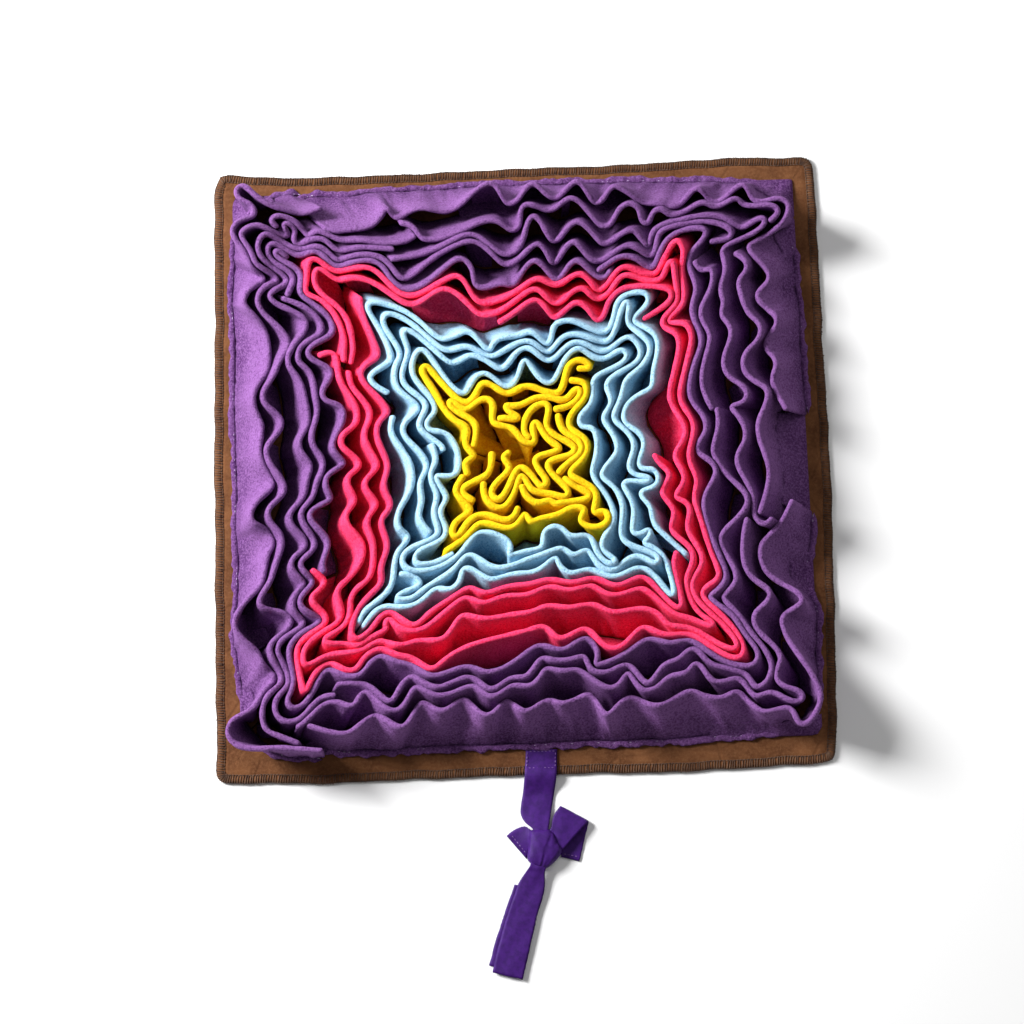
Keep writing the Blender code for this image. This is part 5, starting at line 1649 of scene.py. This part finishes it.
            # Rise values for the painted shade: each fall darkens from where it starts towards its far end.
            rise = self.walls.face_rise * top[run] / self.gathering.width
            share = rise[:, None] * (1 - across)[None] + self.falls.foot_rise
            travel = np.gradient(seam[run], axis=0)
            turn = (travel[:, 0] * way[run][:, 1] - travel[:, 1] * way[run][:, 0]).sum()
            values = np.concatenate([share, share[:, ::-1]], axis=1)
            order = -1 if turn > 0 else 1
            shape.add_rings(rings[:, ::order], values[:, ::order])

    def _free_way(self, points: Array, way: Array, walls: Array) -> tuple[Array, Array]:
        """How far each point can go its way before it meets a wall, and that wall's index."""
        edge = (walls[:, 2:] - walls[:, :2])[None]
        offset = walls[None, :, :2] - points[:, None]
        turn = way[:, None, 0] * edge[..., 1] - way[:, None, 1] * edge[..., 0]
        turn = np.where(np.abs(turn) < 1e-12, 1e-12, turn)
        ahead = (offset[..., 0] * edge[..., 1] - offset[..., 1] * edge[..., 0]) / turn
        place = (offset[..., 0] * way[:, None, 1] - offset[..., 1] * way[:, None, 0]) / turn
        met = (place >= 0) & (place <= 1) & (ahead > self.falls.own_wall)
        distance = np.where(met, ahead, np.inf)
        return distance.min(axis=1), distance.argmin(axis=1)

    @staticmethod
    def _runs(chosen: Array, least: int) -> list[slice]:
        """Unbroken stretches of chosen points, at least this many long."""
        edges = np.flatnonzero(np.diff(np.concatenate([[0], chosen.astype(int), [0]])))
        return [slice(a, b) for a, b in zip(edges[::2], edges[1::2]) if b - a >= least]

    def build(self, base: bpy.types.Object) -> None:
        """Makes every strip a piece of its own and sews the outer ones.

        Args:
            base: the base cloth that they stand on. It is not used.
        """
        self.lay_out()
        finishes = {colour: finish.material() for colour, finish in FLEECE.items()}
        walls = np.vstack([np.hstack([strip.seam[:-1], strip.seam[1:]]) for strip in self.strips])
        (west, south), (east, north) = self.gathering.field_low, self.gathering.field_high
        corners = np.array(((west, south), (east, south), (east, north), (west, north)))
        borders = np.hstack([corners, np.roll(corners, -1, axis=0)])
        stitch_lines: list[Array] = []
        for number, strip in enumerate(self.strips):
            seed = 10 * number
            shape = self.wall(strip, 1000 + seed)
            self.add_falls(shape, strip, walls, borders, 3000 + seed)
            if strip.colour is FleeceColour.PURPLE:
                stitch_lines += self.add_lip(shape, strip, 2000 + seed)
            piece = shape.piece(f"{strip.name}_fleece_strip", finishes[strip.colour])
            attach(piece, "root")
            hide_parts(strip.node)
            length = float(Curves.lengths(strip.rim)[-1])
            report(piece)
        thread = Stitches(SEAM_THREAD.material())
        thread.dash(stitch_lines, self.lips.stitch_length, self.lips.stitch_pitch, self.lips.stitch_radius)
        report(thread.piece("ruffle_seam_stitches", "purple_fleece"))


# ---------------------------------------------------------------------------------------------------- sewing


@dataclass
class Stitches:
    """Thread stitches, gathered in one piece."""

    material: bpy.types.Material
    shape: Shape = field(default_factory=Shape)

    def dash(
        self, lines: Iterable[Array], stitch: float, pitch: float, radius: float, dip: float = 0.0003
    ) -> None:
        """Adds running stitches along lines.

        Args:
            lines: the seam lines in space.
            stitch: length of a stitch that shows.
            pitch: distance from one to the next.
            radius: the thread's radius.
            dip: how far a stitch's ends sink into the cloth.
        """
        for line in lines:
            lengths = Curves.lengths(line)
            for start in np.arange(pitch / 2, lengths[-1] - stitch, pitch):
                at = start + stitch * np.array([0.0, 0.2, 0.5, 0.8, 1.0])
                path = np.stack([np.interp(at, lengths, line[:, k]) for k in range(3)], axis=1)
                path[:, 2] += dip * np.array([-1.0, 0.1, 0.4, 0.1, -1.0])
                self.shape.add_tube(path, radius * np.array([0.6, 1.0, 1.1, 1.0, 0.6]), 5)

    def piece(self, name: str, slot: str) -> bpy.types.Object:
        """The stitches as a piece that rides on the mat."""
        item = self.shape.piece(name, self.material)
        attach(item, "root")
        return item


@dataclass
class BaseCloth:
    """The square suede base: two layers sewn together, with an overlocked edge all round."""

    outline: Rows
    thickness: float = 0.003
    edge_radius: float = 0.0010
    outline_step: float = 0.0035
    edge_wave: float = 0.00025
    band: float = 0.0056
    band_rise: float = 0.00018
    seam_depth: float = 0.00055
    seam_width: float = 0.0009
    field_fade: float = 0.006
    inset: tuple[float, ...] = (
        0.0016, 0.003, 0.0048, 0.0060, 0.0072, 0.009, 0.0115, 0.0145, 0.018, 0.023, 0.030, 0.045,
    )
    ripple: float = 0.00045
    sunk: float = 0.0002
    corner_step: float = 0.0015
    sharp_inset: float = 0.004
    stitch_pitch: float = 0.0020
    stitch_throw: float = 0.0004
    stitch_sink: float = 0.00005
    slack_pitch: float = 0.012
    looper_reach: float = 0.00035
    looper_wave: float = 0.0005
    thread_radius: float = 0.00042

    def edge(self) -> Array:
        """The outline's points in metres, evenly spaced."""
        path = Curves.smooth_loop(GRID.on_plan(self.outline, GRID.height), 8, self.outline_step)
        along = np.linspace(0, 2 * math.pi, len(path), endpoint=False)
        wave = self.edge_wave * (np.sin(23 * along + 1.0) + np.sin(41 * along + 2.2) + np.sin(67 * along))
        return path + self.outward(path) * wave[:, None]

    @staticmethod
    def outward(path: Array) -> Array:
        """Outward direction at each point of a closed path, turning gently round the corners."""
        travel = Curves.unit(np.roll(path, -2, axis=0) - np.roll(path, 2, axis=0))
        out = np.stack([travel[:, 1], -travel[:, 0]], axis=1)
        return out * (1 if (path * out).sum() > 0 else -1)

    def ring(self, path: Array, inset: float) -> Array:
        """The outline moved inwards, its corners kept from folding over."""
        moved = path - self.outward(path) * inset
        if inset > self.sharp_inset:
            for _ in range(int(inset / self.corner_step)):
                moved = (np.roll(moved, 1, axis=0) + 2 * moved + np.roll(moved, -1, axis=0)) / 4
        return moved

    def height(self, plan: Array, inset: float) -> Array:
        """Height of the top face: a puffed edge band, the sunken seam, and a softly rippled field."""
        band = self.band_rise * math.sin(math.pi * min(inset / self.band, 1.0))
        seam = -self.seam_depth * math.exp(-(((inset - self.band) / self.seam_width) ** 2))
        x, y = plan[:, 0], plan[:, 1]
        ripple = np.sin(92 * x + 31 * y + 0.6) * np.sin(61 * y - 44 * x + 1.9)
        ripple = ripple + 0.6 * np.sin(171 * x - 90 * y + 0.3)
        fade = np.clip((inset - self.band) / self.field_fade, 0, 1)
        return self.thickness + band + seam + self.ripple * 0.5 * ripple * fade - self.sunk * fade

    def mesh(self) -> Shape:
        """The cloth as one closed mesh."""
        path = self.edge()
        shape = Shape()
        rings = []
        lower = ((0.030, 0.0), (0.0035, 0.0), (0.0006, 0.0))
        for inset, height in lower:
            plan = self.ring(path, inset)
            rings.append(np.column_stack([plan, np.full(len(plan), height)]))
        for turn in np.linspace(-50, 60, 5):
            inset = self.edge_radius * (1 - math.cos(math.radians(turn)))
            height = self.thickness / 2 * (1 + math.sin(math.radians(turn)))
            rings.append(np.column_stack([self.ring(path, inset), np.full(len(path), height)]))
        for inset in self.inset:
            plan = self.ring(path, inset)
            rings.append(np.column_stack([plan, self.height(plan, inset)]))
        innermost = self.ring(path, self.inset[-1])
        for share in (0.8, 0.55, 0.3, 0.1):
            rings.append(np.column_stack([innermost * share, np.full(len(path), self.thickness - self.sunk)]))
        shape.add_rings(np.stack(rings))
        return shape

    def overlock(self) -> Stitches:
        """The thread that wraps the edge: slanted ladder stitches, the needle line and the looper line."""
        thread = Stitches(OVERLOCK.material())
        path = Curves.resampled(self.edge(), self.stitch_pitch, closed=True)
        out = self.outward(path)
        travel = np.stack([-out[:, 1], out[:, 0]], axis=1)
        chance = np.random.default_rng(77)
        band = self.band
        # Corners of a stitch: metres in from the edge, and millimetres over the top
        profile = (
            (band, 0.05), (band * 0.6, 0.42), (band * 0.2, 0.38),
            (-0.0003, -0.3), (-0.0005, -1.5), (0.0012, -2.55),
        )
        slack = Curves.wander(np.arange(len(path)) * self.stitch_pitch, self.slack_pitch, 5)
        loose = 1 + 0.9 * np.clip(slack, 0, 1)
        for index in range(len(path)):
            lean = chance.uniform(0.2, 0.7) * self.stitch_pitch
            reach = chance.uniform(0.0, self.stitch_throw) * loose[index]
            points = []
            for step, (inset, lift) in enumerate(profile):
                off = inset - reach * (step >= 3)
                plan = path[index] - out[index] * off + travel[index] * lean * (1 - step / 3)
                points.append((*plan, self.thickness + lift * 0.001 - self.stitch_sink))
            thread.shape.add_tube(np.array(points), self.thread_radius * chance.uniform(0.85, 1.15), 5)
        needle = self.ring(path, band + 0.0003)
        needle = np.column_stack([needle, np.full(len(needle), self.thickness + 0.0001)])
        needle = np.vstack([needle, needle[:1]])
        thread.dash([needle], stitch=0.0022, pitch=0.0027, radius=0.00036, dip=0.0002)
        knots = path + out * self.looper_reach
        wave = self.looper_wave * np.sin(np.arange(len(path)) * 2.1)
        looper = np.column_stack([knots, self.thickness * 0.62 + wave])
        thread.shape.add_tube(np.vstack([looper, looper[:1]]), self.thread_radius * 1.1, 5)
        return thread

    def build(self) -> bpy.types.Object:
        """Makes the base cloth and its overlocked edge.

        Returns:
            The base cloth.
        """
        cloth = self.mesh().piece("suede_base_cloth", SUEDE.material())
        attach(cloth, "root")
        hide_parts("base_mat")
        edge = self.edge()
        size = edge.max(axis=0) - edge.min(axis=0)
        thread = self.overlock().piece("edge_overlock_thread", "suede")
        report(cloth)
        report(thread)
        return cloth


# ---------------------------------------------------------------------------------------------------- ribbon


@dataclass
class RibbonTie:
    """The satin ribbon: a sewn strap, two short free ends, a knot and a doubled tail."""

    bands: dict[str, Rows]
    knot_rows: Rows
    thickness: float = 0.0009
    samples: int = 10
    across: int = 14
    crown: float = 0.00025
    crease: float = 0.00012
    picot: float = 0.00016
    picot_pitch: float = 0.0016
    knot_turn: Array = field(default_factory=lambda: np.array([[0.94, -0.34], [0.34, 0.94]]))
    knot_step: float = 0.0006
    full_fold: float = 0.006
    knot_shoulder: float = 0.0065
    stitch_radius: float = 0.00022
    stitch_length: float = 0.0016
    stitch_pitch: float = 0.0030
    stitch_dip: float = 0.0002
    stitch_lift: float = 0.0007
    cut_depth: float = 0.0004
    material: bpy.types.Material | None = None

    def sections(self, name: str) -> tuple[Array, Array]:
        """Left and right edge of a band in space, finely sampled."""
        rows = np.array(self.bands[name])
        tuck = RIBBON_TUCKS.get(name, ())
        if name in ("ribbon_strap", "ribbon_left_end"):
            rows = np.vstack([rows, np.array(tuck)])
        elif tuck:
            rows = np.vstack([np.array(tuck), rows[len(tuck) - 1 :]])
        left = np.column_stack([GRID.on_plan(rows[:, 0:2], rows[:, 4]), rows[:, 4]])
        right = np.column_stack([GRID.on_plan(rows[:, 2:4], rows[:, 4]), rows[:, 4]])
        both = Curves.smooth(np.hstack([left, right]), self.samples)
        return both[:, :3], both[:, 3:]

    def band(self, name: str, ragged: float = 0.0) -> bpy.types.Object:
        """One flat length of ribbon as a thin closed mesh with woven edges.

        Args:
            name: the construction node that it stands for.
            ragged: how unevenly its far end is cut.

        Returns:
            The piece.
        """
        left, right = self.sections(name)
        middle = (left + right) / 2
        along = Curves.lengths(middle)
        side = Curves.unit(left - right)
        travel = Curves.unit(np.gradient(middle, axis=0))
        face = Curves.unit(np.cross(side, travel))
        face *= np.where(face[:, 2:3] < 0, -1.0, 1.0) if abs(face[:, 2]).min() > 0.2 else 1.0
        face *= np.sign(face[:, 2].sum())
        tooth = self.picot * np.sin(along * 2 * math.pi / self.picot_pitch)
        left, right = left + side * tooth[:, None], right - side * tooth[:, None]
        share = np.linspace(0, 1, self.across)
        row = left[:, None] + share[None, :, None] * (right - left)[:, None]
        arch = self.crown * (1 - (2 * share - 1) ** 2)
        creases = self.crease * np.sin(along[:, None] * 160 + 9 * share[None] + 1.3)
        row = row + face[:, None] * (arch[None] + creases)[..., None]
        if ragged:
            row[-1] += travel[-1] * (ragged * np.sin(share * 41 + 0.7) * np.sin(share * 17))[:, None]
        half = self.thickness / 2 * np.where((share < 0.04) | (share > 0.96), 0.8, 1.0)
        upper = row + face[:, None] * half[None, :, None]
        lower = (row - face[:, None] * half[None, :, None])[:, ::-1]
        width = np.linalg.norm(right - left, axis=1)
        lengthwise = np.broadcast_to(along[:, None], (len(along), self.across))
        weave = np.stack([share[None] * width[:, None], lengthwise], axis=2)
        weave = np.concatenate([weave, weave[:, ::-1]], axis=1)
        shape = Shape()
        shape.add_rings(np.concatenate([upper, lower], axis=1), None, weave)
        piece = shape.piece(name.replace("ribbon", "satin"), self.material)
        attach(piece, "root")
        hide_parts(name)
        report(piece)
        return piece

    def knot(self) -> bpy.types.Object:
        """The knot: a wrapped turn of ribbon with folds running into its lower point."""
        corners = GRID.on_plan(self.knot_rows, self.knot_shoulder)
        outline = Curves.smooth_loop(corners, 8, self.knot_step)
        middle = outline.mean(axis=0)
        rings = []
        weave = []
        for scale, height in KNOT_PROFILE:
            plan = middle + (outline - middle) * scale
            ring = np.column_stack([plan, np.full(len(plan), height)])
            ring[:, 2] -= self._folds(plan - middle) * min(1.0, height / self.full_fold)
            rings.append(ring)
            weave.append((plan - middle) @ self.knot_turn.T)
        shape = Shape()
        shape.add_rings(np.stack(rings), None, np.stack(weave))
        piece = shape.piece("satin_knot", self.material)
        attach(piece, "root")
        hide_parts("ribbon_knot")
        report(piece)
        return piece

    @staticmethod
    def _folds(plan: Array) -> Array:
        """Depth of the knot's folds at points measured from its middle."""
        depth = np.zeros(len(plan))
        for (ax, ay), (bx, by), deep, wide in KNOT_FOLDS:
            line = np.array([bx - ax, by - ay])
            offset = plan - np.array([ax, ay])
            share = np.clip(offset @ line / (line @ line), 0, 1)
            miss = np.linalg.norm(offset - share[:, None] * line, axis=1)
            depth += deep * np.exp(-((miss / wide) ** 2)) * (0.4 + 0.6 * share)
        return depth

    def seams(self) -> bpy.types.Object:
        """The stitch rows that hold the strap and the turned ends."""
        thread = Stitches(RIBBON_THREAD.material())
        for rows in RIBBON_SEAMS:
            line = np.array(rows)
            path = np.column_stack([GRID.on_plan(line[:, :2], line[:, 2]), line[:, 2] + self.stitch_lift])
            thread.dash([path], self.stitch_length, self.stitch_pitch, self.stitch_radius, self.stitch_dip)
        piece = thread.piece("satin_stitches", "ribbon_satin")
        report(piece)
        return piece

    def build(self) -> None:
        """Makes the whole tie."""
        self.material = RIBBON.material()
        for name in self.bands:
            self.band(name, self.cut_depth if "tail" in name else 0.0)
        self.knot()
        self.seams()


# ---------------------------------------------------------------------------------------------------- studio


@dataclass
class Studio:
    """Plain pale floor, a soft light from the upper left, a weak one from the right, and the camera."""

    elevation: float = 80.835
    azimuth: float = -1.927
    distance: float = 1.9
    target: tuple[float, float, float] = (-0.0072, -0.03794, 0.0)
    lens: float = 82.83
    sensor: float = 36.0
    key_direction: tuple[float, float, float] = (-0.85, 0.36, 0.58)
    key_distance: float = 2.2
    key_size: float = 0.75
    key_power: float = 120.0
    fill_direction: tuple[float, float, float] = (0.60, 0.60, 0.85)
    fill_distance: float = 2.6
    fill_size: float = 2.2
    fill_power: float = 16.0
    surround: float = 0.20
    floor_size: float = 7.0
    floor_points: int = 9
    floor_level: float = -0.0002

    def floor(self) -> None:
        """Lays the floor just under the mat."""
        shape = Shape()
        half = self.floor_size / 2
        steps = np.linspace(-half, half, self.floor_points)
        grid = np.stack(np.meshgrid(steps, steps, self.floor_level, indexing="ij"), axis=-1)
        rings = grid[:, :, 0]
        shape.add_rings(rings, closed=False, capped=False)
        shape.piece("pale_floor", FLOOR.material())

    def light(
        self, name: str, direction: Sequence[float], distance: float, size: float, power: float
    ) -> None:
        """Hangs one square light that faces the mat."""
        data = bpy.data.lights.new(name, "AREA")
        data.size = size
        data.energy = power
        item = bpy.data.objects.new(name, data)
        bpy.context.scene.collection.objects.link(item)
        away = Vector(direction).normalized()
        item.location = away * distance
        item.rotation_mode = "QUATERNION"
        item.rotation_quaternion = away.to_track_quat("Z", "Y")

    def camera(self) -> None:
        """Sets the camera."""
        data = bpy.data.cameras.new("camera")
        data.lens = self.lens
        data.sensor_width = self.sensor
        item = bpy.data.objects.new("camera", data)
        bpy.context.scene.collection.objects.link(item)
        turn, climb = math.radians(self.azimuth), math.radians(self.elevation)
        back = Vector((math.sin(turn) * math.cos(climb), -math.cos(turn) * math.cos(climb), math.sin(climb)))
        item.location = Vector(self.target) + back * self.distance
        item.rotation_mode = "QUATERNION"
        item.rotation_quaternion = (-back).to_track_quat("-Z", "Y")
        bpy.context.scene.camera = item

    def surroundings(self) -> None:
        """Even pale light from all round, and plain colour management."""
        scene = bpy.context.scene
        world = bpy.data.worlds.new("surroundings")
        scene.world = world
        world.use_nodes = True
        background = world.node_tree.nodes["Background"]
        background.inputs["Color"].default_value = (1.0, 1.0, 1.0, 1.0)
        background.inputs["Strength"].default_value = self.surround
        scene.view_settings.view_transform = "Standard"
        scene.view_settings.look = "None"

    def build(self) -> None:
        """Sets up floor, lights and camera."""
        self.camera()
        self.surroundings()
        self.floor()
        self.light("key_light", self.key_direction, self.key_distance, self.key_size, self.key_power)
        self.light("fill_light", self.fill_direction, self.fill_distance, self.fill_size, self.fill_power)


def main() -> None:
    """Builds the mat and its studio."""
    logging.basicConfig(level=logging.INFO, format="%(name)s %(message)s")
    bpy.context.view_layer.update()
    Studio().build()
    base = BaseCloth(BASE_OUTLINE).build()
    FleeceField(LAYOUT).build(base)
    RibbonTie(RIBBON_BANDS, KNOT_OUTLINE).build()
    log.info("mat finished")


if __name__ == "__main__":
    main()
